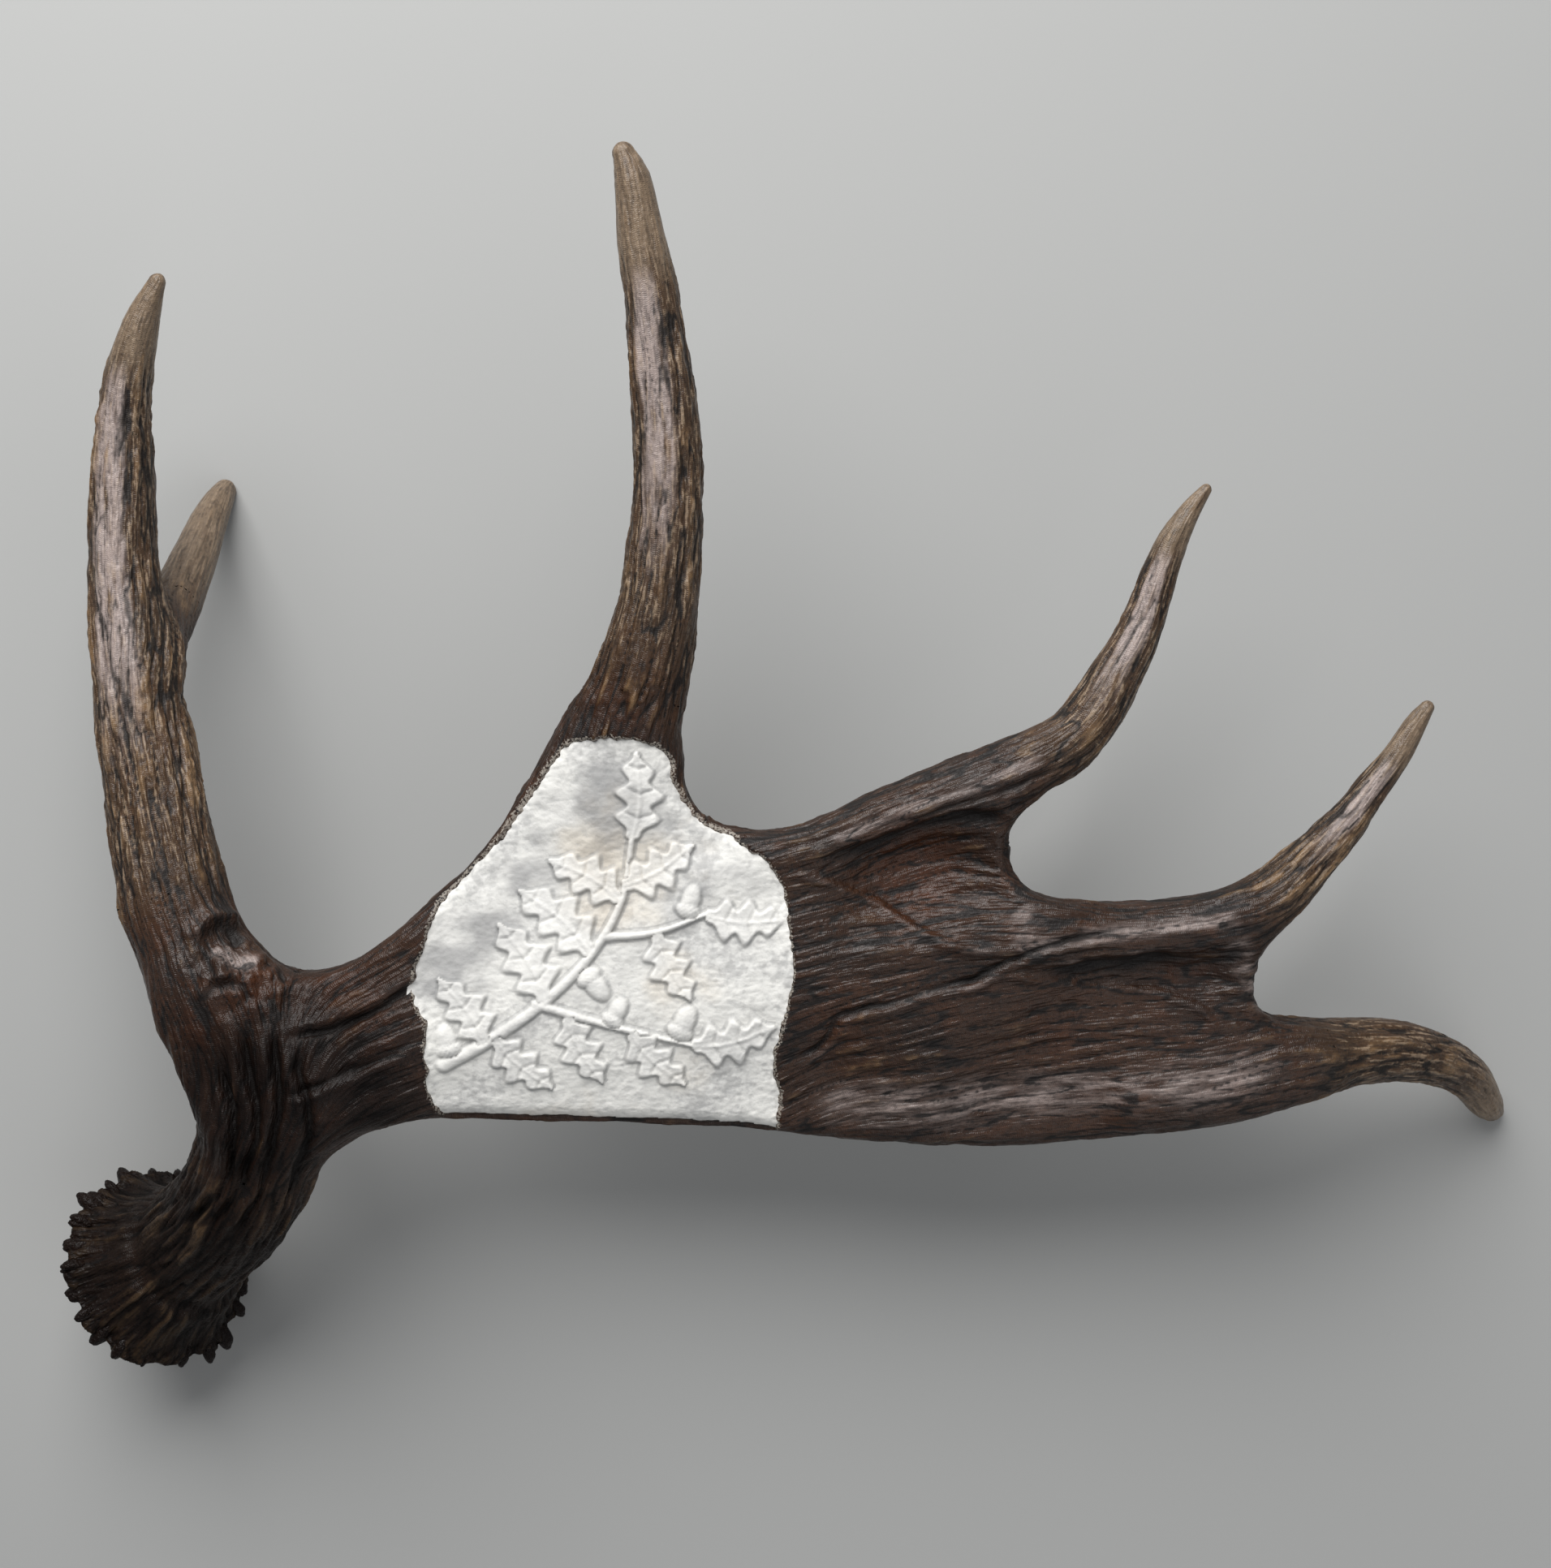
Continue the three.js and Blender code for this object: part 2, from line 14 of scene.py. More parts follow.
import bmesh
import bpy
import numpy as np
from bpy.props import EnumProperty, FloatProperty, FloatVectorProperty, IntProperty, PointerProperty
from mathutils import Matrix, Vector


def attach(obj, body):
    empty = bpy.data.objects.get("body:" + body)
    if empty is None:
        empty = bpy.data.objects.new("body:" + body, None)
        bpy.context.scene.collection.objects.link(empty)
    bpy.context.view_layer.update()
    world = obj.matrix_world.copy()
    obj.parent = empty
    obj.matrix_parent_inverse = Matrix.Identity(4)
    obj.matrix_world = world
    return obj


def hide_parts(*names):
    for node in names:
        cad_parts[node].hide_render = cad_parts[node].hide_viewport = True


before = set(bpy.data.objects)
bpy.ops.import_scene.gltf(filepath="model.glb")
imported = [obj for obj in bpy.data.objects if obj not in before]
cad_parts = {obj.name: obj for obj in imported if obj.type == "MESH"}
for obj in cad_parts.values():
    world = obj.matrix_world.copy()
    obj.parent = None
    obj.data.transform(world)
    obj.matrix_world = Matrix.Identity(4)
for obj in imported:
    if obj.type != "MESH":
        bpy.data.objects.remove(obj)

bl_info = {
    "name": "Moose Antler",
    "version": (1, 0, 0),
    "blender": (4, 5, 0),
    "location": "View3D > Sidebar > Antler",
    "description": "Grows a moose antler with a carved bone panel around its frame",
    "category": "Add Mesh",
}

MM = 0.001
CHUNK = 5000               # this many points are worked on at once, so that they fit the memory

# ---- The antler's form, as in its solids ----

BLEND = 12.0               # reach of the soft fillet where one limb grows out of another
SEGMENT = 5.0              # length of the straight steps that stand for a limb's curve
FAR = 30.0                 # a limb isn't felt further away than this

# Each limb's stations: x, y, z of its middle line, half its width and half its thickness.
LIMBS = {
    "beam": [
        (-290, -216, 33, 27, 27), (-277, -208, 45, 26, 26), (-264, -197, 57, 26, 26),
        (-249, -183, 71, 26, 26), (-237, -165, 83, 26, 26), (-229, -149, 90, 26.5, 25),
        (-219, -134, 95, 28, 23), (-206, -122, 97, 29, 19), (-190, -113, 98, 28, 17),
        (-171, -107, 99, 24, 15),
    ],
    "brow": [
        (-209, -123, 97, 26, 20), (-236, -97, 99, 25, 20), (-251, -78, 99, 23.5, 19),
        (-261, -58, 98, 22.5, 18), (-267, -38, 97, 22, 17.5), (-276, 5, 94, 20, 16.5),
        (-281, 32, 92, 18.5, 16), (-285, 65, 91, 16.5, 15), (-288, 95, 91, 14.2, 13.5),
        (-287, 130, 94, 12.8, 12), (-285, 162, 99, 10.4, 10.5), (-277, 190, 106, 7.6, 8),
        (-268, 208, 112, 3.4, 3.4),
    ],
    "spur": [
        (-280, 53, 86, 12, 12), (-276, 71, 70, 11.5, 11.5), (-274, 89, 52, 10.8, 10.8),
        (-272, 105, 36, 9.8, 9.8), (-271, 119, 22, 8.4, 8.4), (-269, 131, 10.5, 6.6, 6.6),
        (-268, 137, 2.8, 5, 5),
    ],
    "upper": [
        (-87, -14, 104, 26, 11), (-80, 13, 109, 26, 14), (-70, 39, 113, 20.3, 15),
        (-66, 53, 115, 18.6, 14.5), (-61, 75, 118, 16.5, 14), (-59, 93, 120, 15.5, 13.5),
        (-57, 112, 123, 14.5, 13), (-57, 143, 128, 13.8, 12.5), (-59, 167, 132, 12.8, 12),
        (-62, 192, 137, 11.2, 11), (-66, 215, 142, 10, 10), (-70, 242, 148, 7.1, 7.5),
        (-73, 250, 150, 4.5, 4.5),
    ],
    "middle": [
        (-42, -37, 102, 8, 9), (2, -25, 103, 10, 11), (36, -12, 105, 12.5, 12), (69, 0, 106, 14, 13),
        (98, 12, 107, 13.3, 12.5), (110, 20, 107, 12.6, 12), (120, 32, 108, 11.6, 11.5),
        (128, 46, 108, 10.6, 10.5), (135, 58, 109, 9.6, 9.4), (140, 71, 110, 8.6, 8.5),
        (144, 84, 111, 7.9, 7.7), (151, 102, 113, 6.2, 6), (158, 114, 114, 4.2, 4.2),
        (164, 122, 115, 2.4, 2.4),
    ],
    "side": [
        (29, -68, 100, 7, 8), (70, -65, 100, 9, 9), (104, -63, 99, 11, 12), (138, -62, 98, 11.5, 12),
        (169, -59, 97, 12.5, 12), (191, -50, 96, 13, 12), (201, -42, 96, 11.8, 11.5),
        (210, -33, 95, 10.6, 10.5), (217, -26, 95, 10, 10), (227, -15, 95, 8.6, 8.6),
        (236, -3, 95, 7, 6.8), (248, 13, 96, 5.8, 5.6), (256, 27, 97, 4.6, 4.5), (260, 33, 98, 3, 3),
    ],
    "end": [
        (140, -131, 86, 12, 10), (175, -126, 85, 15, 11), (210, -117, 80, 16.3, 13),
        (242, -114, 71, 14.2, 12.5), (262, -116, 60, 12.8, 11.5), (280, -121, 47, 11.3, 10.5),
        (299, -131, 29.5, 10, 9.5), (312, -144, 13, 8, 8), (318, -149, 3.4, 5.8, 6),
    ],
}

# How far along its limb each fork plane stands.
FORKS = {"beam": 101, "brow": 97, "spur": 36, "upper": 57, "middle": 151, "side": 168, "end": 82}
PALM_PARTING = -34.0       # the palm is made in two halves, parted across at this x

PALM_OUTLINE = [
    (-240, -69), (-221, -79), (-195, -76), (-173, -62), (-147, -40), (-132, -23), (-116, -3), (-99, 15),
    (-75, 30), (-57, 16), (-53, -1), (-44, -12), (-28, -18), (2, -24), (36, -12), (70, 0), (91, 1),
    (84, -19), (86, -35), (99, -47), (124, -51), (159, -50), (189, -51), (189, -74), (189, -89),
    (197, -100), (225, -112), (225, -124), (208, -131), (162, -144), (107, -152), (72, -153),
    (20, -150), (-32, -144), (-102, -141), (-157, -139), (-181, -139), (-200, -144), (-223, -155),
    (-247, -145), (-256, -129), (-262, -113), (-269, -94), (-265, -77),
]
# x, y, height of the plate's middle and half its thickness, blended between these places.
PALM_PLATE = [
    (-240, -109, 96, 18), (-258, -85, 98, 17), (-234, -139, 92, 22), (-202, -123, 97, 19),
    (-175, -95, 99, 16), (-202, -84, 97, 13), (-147, -61, 101, 13), (-120, -24, 103, 11),
    (-133, -105, 101, 14), (-136, -137, 84, 13), (-82, 6, 106, 12), (-82, -51, 104, 12),
    (-83, -88, 102, 12), (-83, -116, 97, 13), (-84, -139, 80, 12), (-32, -38, 103, 11),
    (-32, -88, 101, 11), (-32, -120, 94, 11), (-32, -141, 80, 10), (2, -27, 102, 11),
    (47, -35, 93, 8), (43, -87, 100, 12), (47, -120, 93, 10), (20, -143, 79, 9), (72, -148, 77, 9),
    (86, -10, 104, 11), (77, -75, 99, 11), (105, -114, 90, 9), (107, -148, 76, 9), (157, -81, 89, 8),
    (157, -114, 89, 9), (159, -143, 76, 9), (190, -69, 94, 12), (199, -104, 84, 11), (211, -122, 79, 12),
]
PALM_REACH = 20.0          # how far each of those places is felt
PALM_EDGE = 7.0            # radius of the plate's rounded rim

PANEL_OUTLINE = [
    (-100, 16), (-82, 19), (-62, 16), (-55, 6), (-49, -8), (-42, -16), (-29, -21), (-15, -32),
    (-10, -44), (-7, -61), (-5, -75), (-7, -92), (-11, -107), (-14, -121), (-12, -132), (-15, -147),
    (-55, -149), (-102, -148), (-148, -146), (-155, -133), (-158, -124), (-156, -111),
    (-160, -92), (-162, -81), (-158, -63), (-149, -45), (-132, -28), (-122, -14), (-110, 1),
]
PANEL_DEPTH = 1.4          # the carved ground lies this far under the bark

BURR_RADIUS = 42.0         # to the rim, without its lobes
BURR_FLARE = 15.0          # length over which the flare dies away up the beam
BURR_RIM = 3.5             # from the rim's middle to its underside
BURR_DOME = 6.0            # how far the seat bulges below the rim
BURR_REACH = 26.0          # how far up the beam the collar goes
BURR_SOFT = 5.0            # rounding of the rim
# Each lobe's angle in degrees, rise and half-width in degrees.
LOBES = [
    (8, 3, 9), (33, 2, 10), (62, 3.5, 12), (95, 4.5, 9), (128, 4, 12), (158, 2, 8), (186, 4.5, 12),
    (212, 2.5, 7), (232, 4, 10), (252, 3, 7), (270, 4, 10), (292, 3, 8), (316, 4, 12), (344, 3.5, 9),
]

# ---- Curves and distances ----


def catmull_rom(points, steps, closed=False):
    """A centripetal Catmull-Rom curve through points, with steps samples to each stretch."""
    points = np.asarray(points, float)
    if closed:
        points = np.vstack([points[-1:], points, points[:2]])
    else:
        points = np.vstack([2 * points[0] - points[1], points, 2 * points[-1] - points[-2]])
    share = (np.arange(steps) / steps)[:, None]
    samples = []
    for p0, p1, p2, p3 in zip(points, points[1:], points[2:], points[3:]):
        g0, g1, g2 = (max(np.linalg.norm(b - a), 1e-4) ** 0.5 for a, b in ((p0, p1), (p1, p2), (p2, p3)))
        m1 = ((p1 - p0) / g0 - (p2 - p0) / (g0 + g1) + (p2 - p1) / g1) * g1
        m2 = ((p2 - p1) / g1 - (p3 - p1) / (g1 + g2) + (p3 - p2) / g2) * g1
        cubic = (2 * p1 - 2 * p2 + m1 + m2) * share**3 + (3 * p2 - 3 * p1 - 2 * m1 - m2) * share**2
        samples.append(cubic + m1 * share + p1)
    if not closed:
        samples.append(points[-2:-1])
    return np.vstack(samples)


def unit(vectors):
    """Vectors at length one."""
    return vectors / np.maximum(np.linalg.norm(vectors, axis=-1, keepdims=True), 1e-9)


def fade(low, high, values):
    """A smooth step from 0 at low to 1 at high."""
    share = np.clip((values - low) / (high - low), 0, 1)
    return share * share * (3 - 2 * share)


def hump(values, width):
    """A soft hump: 1 where the values are 0, dying away over the width on both sides."""
    return np.exp(-((values / width) ** 2))


def round_spot(points, x, y, radius):
    """A soft round spot in plan: 1 in its middle, dying away over its radius."""
    return np.exp(-((points[:, 0] - x) ** 2 + (points[:, 1] - y) ** 2) / radius**2)


def plan_weights(points, places, reach):
    """How strongly each of some places in plan is felt at each point."""
    gap2 = (points[:, :1] - places[:, 0]) ** 2 + (points[:, 1:2] - places[:, 1]) ** 2
    return np.exp(-gap2 / (2 * reach**2))


def smooth_min(a, b, reach):
    """The smaller of two distances, rounded off where they differ by less than the reach."""
    close = np.maximum(reach - np.abs(a - b), 0) / reach
    return np.minimum(a, b) - close * close * reach / 4


def in_box(points, low, high):
    """Which points lie between the low and the high corner of a box."""
    return ((points > low) & (points < high)).all(1)


def lattice(counts):
    """The whole-number places of an even grid, with one count for each axis."""
    return np.stack(np.meshgrid(*(np.arange(n) for n in counts), indexing="ij"), -1)


class Limb:
    """A limb's joints: short straight steps along its curve, each with its section."""

    def __init__(self, stations):
        stations = np.asarray(stations, float)
        line = catmull_rom(stations[:, :3], 40)
        size = catmull_rom(np.c_[stations[:, 3:], np.zeros(len(stations))], 40)
        run = np.r_[0, np.cumsum(np.linalg.norm(np.diff(line, axis=0), axis=1))]
        self.length = run[-1]
        count = max(2, math.ceil(self.length / SEGMENT))
        self.station = np.linspace(0, self.length, count + 1)
        self.point = np.stack([np.interp(self.station, run, line[:, axis]) for axis in range(3)], 1)
        self.width = np.interp(self.station, run, size[:, 0])
        self.thick = np.interp(self.station, run, size[:, 1])
        self.along = unit(np.gradient(self.point, axis=0))
        self.across = unit(np.cross((0, 0, 1), self.along))
        self.up = np.cross(self.along, self.across)

    def at(self, station):
        """Place and direction at a distance along the limb."""
        place, along = (
            np.array([np.interp(station, self.station, line[:, axis]) for axis in range(3)])
            for line in (self.point, self.along)
        )
        return place, unit(along)

    def near(self, points):
        """Which points are close enough to feel the limb."""
        margin = FAR + self.width.max()
        return in_box(points, self.point.min(0) - margin, self.point.max(0) + margin)

    def read(self, points):
        """Distance to the limb's skin, and the station and the step of the nearest place on its line."""
        start = self.point[:-1]
        step = self.point[1:] - start
        length2 = (step**2).sum(1)
        offset_dot = points @ step.T - (start * step).sum(1)
        share = np.clip(offset_dot / length2, 0, 1)
        offset2 = (points**2).sum(1)[:, None] - 2 * points @ start.T + (start**2).sum(1)
        gap2 = offset2 - 2 * share * offset_dot + share**2 * length2
        nearest = gap2.argmin(1)
        share = share[np.arange(len(points)), nearest]
        width = self.width[nearest] + share * (self.width[nearest + 1] - self.width[nearest])
        thick = self.thick[nearest] + share * (self.thick[nearest + 1] - self.thick[nearest])
        small = np.minimum(width, thick)
        offset = points - start[nearest] - share[:, None] * step[nearest]
        reach = np.sqrt(
            ((offset * self.across[nearest]).sum(1) / width) ** 2
            + ((offset * self.up[nearest]).sum(1) / thick) ** 2
            + ((offset * self.along[nearest]).sum(1) / small) ** 2
        )
        station = self.station[nearest] + share * (self.station[nearest + 1] - self.station[nearest])
        return (reach - 1) * small, station, nearest


LIMB = {name: Limb(stations) for name, stations in LIMBS.items()}


def outline_distance(outline, points):
    """Distance in plan to a closed outline, negative inside it."""
    start = outline
    end = np.roll(outline, -1, axis=0)
    step = end - start
    px, py = points[:, :1], points[:, 1:2]
    along = (px - start[:, 0]) * step[:, 0] + (py - start[:, 1]) * step[:, 1]
    share = np.clip(along / (step**2).sum(1), 0, 1)
    gap2 = (px - start[:, 0] - share * step[:, 0]) ** 2 + (py - start[:, 1] - share * step[:, 1]) ** 2
    crosses = (start[:, 1] > py) != (end[:, 1] > py)
    with np.errstate(divide="ignore", invalid="ignore"):
        left = px < start[:, 0] + (py - start[:, 1]) / step[:, 1] * step[:, 0]
    inside = (crosses & left).sum(1) % 2 == 1
    gap = np.sqrt(gap2.min(1))
    return np.where(inside, -gap, gap)


PALM_RIM = catmull_rom(PALM_OUTLINE, 3, closed=True)
PANEL_RIM = catmull_rom(PANEL_OUTLINE, 3, closed=True)


def plate_distance(points):
    """Distance to the palm's curved plate, negative inside."""
    place = np.array(PALM_PLATE, float)
    weight = plan_weights(points, place, PALM_REACH) + 1e-9
    total = weight.sum(1)
    middle = weight @ place[:, 2] / total
    half = weight @ place[:, 3] / total
    over = np.maximum(np.abs(points[:, 2] - middle) - (half - PALM_EDGE), 0)
    aside = np.maximum(outline_distance(PALM_RIM, points) + PALM_EDGE, 0)
    return np.hypot(aside, over) - PALM_EDGE


def burr_reading(points):
    """A point in the frame of the beam's foot: height over the burr's plane, radius and angle."""
    beam = LIMB["beam"]
    offset = points - beam.point[0]
    across, up = offset @ beam.across[0], offset @ beam.up[0]
    return offset @ beam.along[0], np.hypot(across, up), np.degrees(np.arctan2(up, across))


def burr_lobes(angle):
    """How far the burr's lobes stand out of its round rim at an angle in degrees."""
    lobe = np.zeros(len(angle))
    for middle, rise, half in LOBES:
        turn = (angle - middle + 180) % 360 - 180
        lobe += rise * hump(turn, half)
    return lobe


def burr_distance(points):
    """Distance to the burr, negative inside: a lobed rim that flares out of the beam, over a domed seat."""
    height, radial, angle = burr_reading(points)
    lobe = burr_lobes(angle)
    width = LIMB["beam"].width[0]
    flare = np.exp(-np.maximum(height, 0) / BURR_FLARE)
    side = radial - width - (BURR_RADIUS - width + lobe) * flare
    seat = -height - BURR_RIM - BURR_DOME * (1 - (radial / BURR_RADIUS) ** 2)
    return -smooth_min(-side, -np.maximum(seat, height - BURR_REACH), BURR_SOFT)


def chunks(function):
    """Runs a function of many points in parts that fit the memory."""

    def run(points):
        return np.concatenate([function(points[i:i + CHUNK]) for i in range(0, len(points), CHUNK)])

    return run


@chunks
def antler_distance(points):
    """Distance to the antler's smooth form, negative inside."""
    distance = np.full(len(points), FAR)
    close = in_box(points[:, :2], PALM_RIM.min(0) - FAR, PALM_RIM.max(0) + FAR)
    if close.any():
        distance[close] = plate_distance(points[close])
    for limb in LIMB.values():
        close = limb.near(points)
        if close.any():
            distance[close] = smooth_min(distance[close], limb.read(points[close])[0], BLEND)
    foot = LIMB["beam"].point[0]
    close = (np.abs(points - foot) < BURR_RADIUS + FAR).all(1)
    if close.any():
        distance[close] = smooth_min(distance[close], burr_distance(points[close]), BURR_SOFT)
    return distance


def from_foot(points):
    """Distance to the middle of the burr, at the beam's foot."""
    return np.linalg.norm(points - LIMB["beam"].point[0], axis=1)


# ---- The skin: a net of small cells over the form ----

CELL = 0.98  # side of the skin's cells
COARSE = 32                # the first search cells are this many times as large
MARGIN = 25.0              # space around the limbs' middle lines
FOOT_REACH = 80.0          # this close to the burr its flare makes the field steeper
STEEP_AT_FOOT = 2.2        # there the field changes at most this many times as fast as a true distance
STEEP = 1.4                # and this many times elsewhere
CORNERS = np.array([(n & 1, n >> 1 & 1, n >> 2) for n in range(8)])
# The pairs of corners at the two ends of an edge, and the corners of a square in turn.
EDGES = [(m, n) for m in range(8) for n in range(m + 1, 8) if np.abs(CORNERS[m] - CORNERS[n]).sum() == 1]
SQUARE = ((0, 0), (1, 0), (1, 1), (0, 1))


def form_box():
    """The low and the high corner of the space that the form is in."""
    joints = np.vstack([limb.point for limb in LIMB.values()])
    return joints.min(0) - MARGIN - BURR_RADIUS / 2, joints.max(0) + MARGIN


def cells_at_surface(low, high):
    """Integer places of the small cells that the form's surface may pass through."""
    size = COARSE
    cells = lattice(np.ceil((high - low) / (CELL * size)).astype(int)).reshape(-1, 3)
    while True:
        middle = low + (cells + 0.5) * CELL * size
        steep = np.where(from_foot(middle) < FOOT_REACH, STEEP_AT_FOOT, STEEP)
        reach = 0.5 * math.sqrt(3) * CELL * size * steep
        cells = cells[np.abs(antler_distance(middle)) < reach]
        if size == 1:
            return cells
        cells = (cells[:, None] * 2 + CORNERS).reshape(-1, 3)
        size //= 2


def find(sorted_keys, keys):
    """Index of each key in a sorted list, or -1."""
    spot = np.minimum(np.searchsorted(sorted_keys, keys), len(sorted_keys) - 1)
    return np.where(sorted_keys[spot] == keys, spot, -1)


def surface_net():
    """Points and square faces of the form's skin."""
    low, high = form_box()
    cells = cells_at_surface(low, high)
    span = int(cells.max()) + 3

    def key(places):
        return ((places[..., 0] * span) + places[..., 1]) * span + places[..., 2]

    order = np.argsort(key(cells))
    cells = cells[order]
    cell_keys = key(cells)
    corner_keys = key(cells[:, None] + CORNERS)
    node_keys, first, spread = np.unique(corner_keys, return_index=True, return_inverse=True)
    nodes = (cells[:, None] + CORNERS).reshape(-1, 3)[first]
    values = antler_distance(low + nodes * CELL)
    value = values[spread].reshape(-1, 8)
    cut = (value < 0).any(1) & (value >= 0).any(1)

    total = np.zeros((len(cells), 3))
    crossings = np.zeros(len(cells))
    for m, n in EDGES:
        crossed = (value[:, m] < 0) != (value[:, n] < 0)
        gap = np.where(crossed, value[:, m] - value[:, n], 1)
        share = np.where(crossed, value[:, m] / gap, 0)[:, None]
        total += crossed[:, None] * (CORNERS[m] + share * (CORNERS[n] - CORNERS[m]))
        crossings += crossed
    used = np.flatnonzero(cut)
    number = np.full(len(cells), -1)
    number[used] = np.arange(len(used))
    points = low + (cells[used] + total[used] / crossings[used, None]) * CELL

    faces = []
    inside = values[find(node_keys, cell_keys)] < 0
    for axis in range(3):
        step, u, v = (np.eye(3, dtype=int)[(axis + turn) % 3] for turn in range(3))
        ahead = find(node_keys, key(cells + step))
        crossed = np.flatnonzero((ahead >= 0) & (inside != (values[ahead] < 0)))
        around = [find(cell_keys, key(cells[crossed] - p * u - q * v)) for p, q in SQUARE]
        quads = number[np.stack(around, 1)]
        flip = ~inside[crossed]
        quads[flip] = quads[flip][:, ::-1]
        faces.append(quads)
    faces = np.vstack(faces)
    return settle(points), faces[(faces >= 0).all(1)]


def slope_at(points, step=0.4):
    """The field's value and its slope."""
    here = antler_distance(points)
    slope = np.stack([antler_distance(points + step * axis) - here for axis in np.eye(3)], 1) / step
    return here, slope


def settle(points):
    """Moves points straight to the form's surface, by one cell at most."""
    value, slope = slope_at(points)
    return points - slope * np.clip(value / (slope**2).sum(1), -CELL, CELL)[:, None]


# ---- The way the bone grew ----

FLOW_CELL = 6.0            # cell of the grid that holds the direction of growth
# The direction of growth over the palm, in plan: x, y, and the way it points.
PALM_FLOW = [
    (-235, -125, 0.5, 0.7), (-225, -95, 0.2, 0.9), (-200, -85, 0.8, 0.5), (-165, -75, 0.8, 0.6),
    (-140, -45, 0.7, 0.75), (-115, -10, 0.5, 0.85), (-90, 10, 0.3, 1), (-60, 5, -0.1, 1),
    (-195, -120, 1, 0.2), (-170, -130, 1, -0.05), (-100, -138, 1, 0), (-100, -80, 0.9, 0.35),
    (-45, -25, 0.6, 0.7), (-15, -32, 1, 0.05), (20, -22, 1, 0.3), (60, -8, 0.9, 0.4),
    (0, -60, 1, 0.25), (40, -90, 1, 0.35), (5, -120, 0.9, 0.35), (50, -132, 1, 0.1), (90, -78, 1, 0.15),
    (90, -35, 1, -0.3), (120, -110, 1, 0.1), (110, -140, 1, 0.1), (160, -95, 1, 0), (160, -65, 1, 0.05),
    (175, -122, 1, 0.15), (200, -70, 0.6, -0.3),
]
PALM_FLOW_REACH = 17.0     # how far each of those places is felt
PALM_PULL = 0.5            # the palm's pull on the direction, where a limb's is 1
FLOW_FADE = 8.0            # either pull dies away over this distance from the skin
FLOW_WEAK = 0.3            # a direction that is weaker than this stays short, and combs less


class Grid:
    """Values on an even grid, read anywhere between its nodes."""

    def __init__(self, low, cell, values):
        self.low, self.cell = low, cell
        self.counts = np.array(values.shape[:3])
        self.flat = values.reshape(-1, values.shape[3]).astype(np.float32)

    def __call__(self, points):
        spot = np.clip((points - self.low) / self.cell, 0, self.counts - 1.001)
        base = spot.astype(np.int64)
        share = (spot - base).astype(np.float32)
        index = (base[:, 0] * self.counts[1] + base[:, 1]) * self.counts[2] + base[:, 2]
        steps = np.array([self.counts[1] * self.counts[2], self.counts[2], 1])
        total = np.zeros((len(points), self.flat.shape[1]), np.float32)
        for corner in CORNERS:
            weight = np.prod(np.where(corner, share, 1 - share), axis=1)
            total += weight[:, None] * self.flat[index + corner @ steps]
        return total


@chunks
def growth(points):
    """The direction of growth around points, before it is laid along the surface."""
    flow = np.zeros_like(points)
    guide = np.array(PALM_FLOW, float)
    weight = plan_weights(points, guide, PALM_FLOW_REACH) + 1e-12
    plan = unit(weight @ unit(guide[:, 2:]))
    flow[:, :2] = plan * PALM_PULL * np.exp(-np.maximum(plate_distance(points), 0) / FLOW_FADE)[:, None]
    for limb in LIMB.values():
        close = limb.near(points)
        if close.any():
            distance, _, nearest = limb.read(points[close])
            pull = np.exp(-np.clip(distance, -FLOW_FADE, None) / FLOW_FADE)
            flow[close] += pull[:, None] * limb.along[nearest]
    return flow


def growth_grid():
    """The direction of growth laid along the surface, on a grid."""
    low, high = form_box()
    nodes = low + FLOW_CELL * lattice(np.ceil((high - low) / FLOW_CELL).astype(int))
    flat = nodes.reshape(-1, 3)
    value = antler_distance(flat).reshape(nodes.shape[:3])
    facing = unit(np.stack(np.gradient(value), -1))
    flow = growth(flat).reshape(nodes.shape)
    flow -= facing * (flow * facing).sum(-1, keepdims=True)
    strength = np.linalg.norm(flow, axis=-1, keepdims=True)
    return Grid(low, FLOW_CELL, flow / np.maximum(strength, FLOW_WEAK))


class Noise:
    """Smooth random values from about -1 to 1, on a lattice that repeats after many cells."""

    def __init__(self, seed, cell, size=48):
        self.size, self.cell = size, cell
        self.values = np.random.default_rng(seed).uniform(-1, 1, size**3).astype(np.float32)

    def __call__(self, points):
        spot = (points / self.cell).astype(np.float32)
        base = np.floor(spot).astype(np.int32)
        share = fade(0, 1, spot - base)
        low, high = base % self.size, (base + 1) % self.size
        total = np.zeros(len(points), np.float32)
        for corner in CORNERS:
            place = np.where(corner, high, low)
            weight = np.prod(np.where(corner, share, 1 - share), axis=1)
            total += weight * self.values[(place[:, 0] * self.size + place[:, 1]) * self.size + place[:, 2]]
        return total


# Three sizes of ridge: the noise of each, how far it is combed along the growth each way, and the steps.
RIDGES = [Noise(11, 3.3), Noise(12, 1.8), Noise(13, 1.1)]
COMB_REACH = [28.0, 14.0, 6.0]
COMB_STEPS = [1.0] * 7 + [2.0] * 12


def combed(points, flow):
    """Noise of each size, drawn out along the direction of growth and brought to an even strength."""
    totals = [noise(points) for noise in RIDGES]
    for sign in (1, -1):
        place = points.astype(np.float32)
        run = 0.0
        for step in COMB_STEPS:
            place = place + sign * step * flow(place)
            run += step
            for index, (noise, reach) in enumerate(zip(RIDGES, COMB_REACH)):
                if run < reach:
                    weight = step * (0.5 + 0.5 * math.cos(math.pi * run / reach))
                    totals[index] = totals[index] + weight * noise(place)
    return [(total - total.mean()) / total.std() for total in totals]


# ---- Landmarks of the bark ----

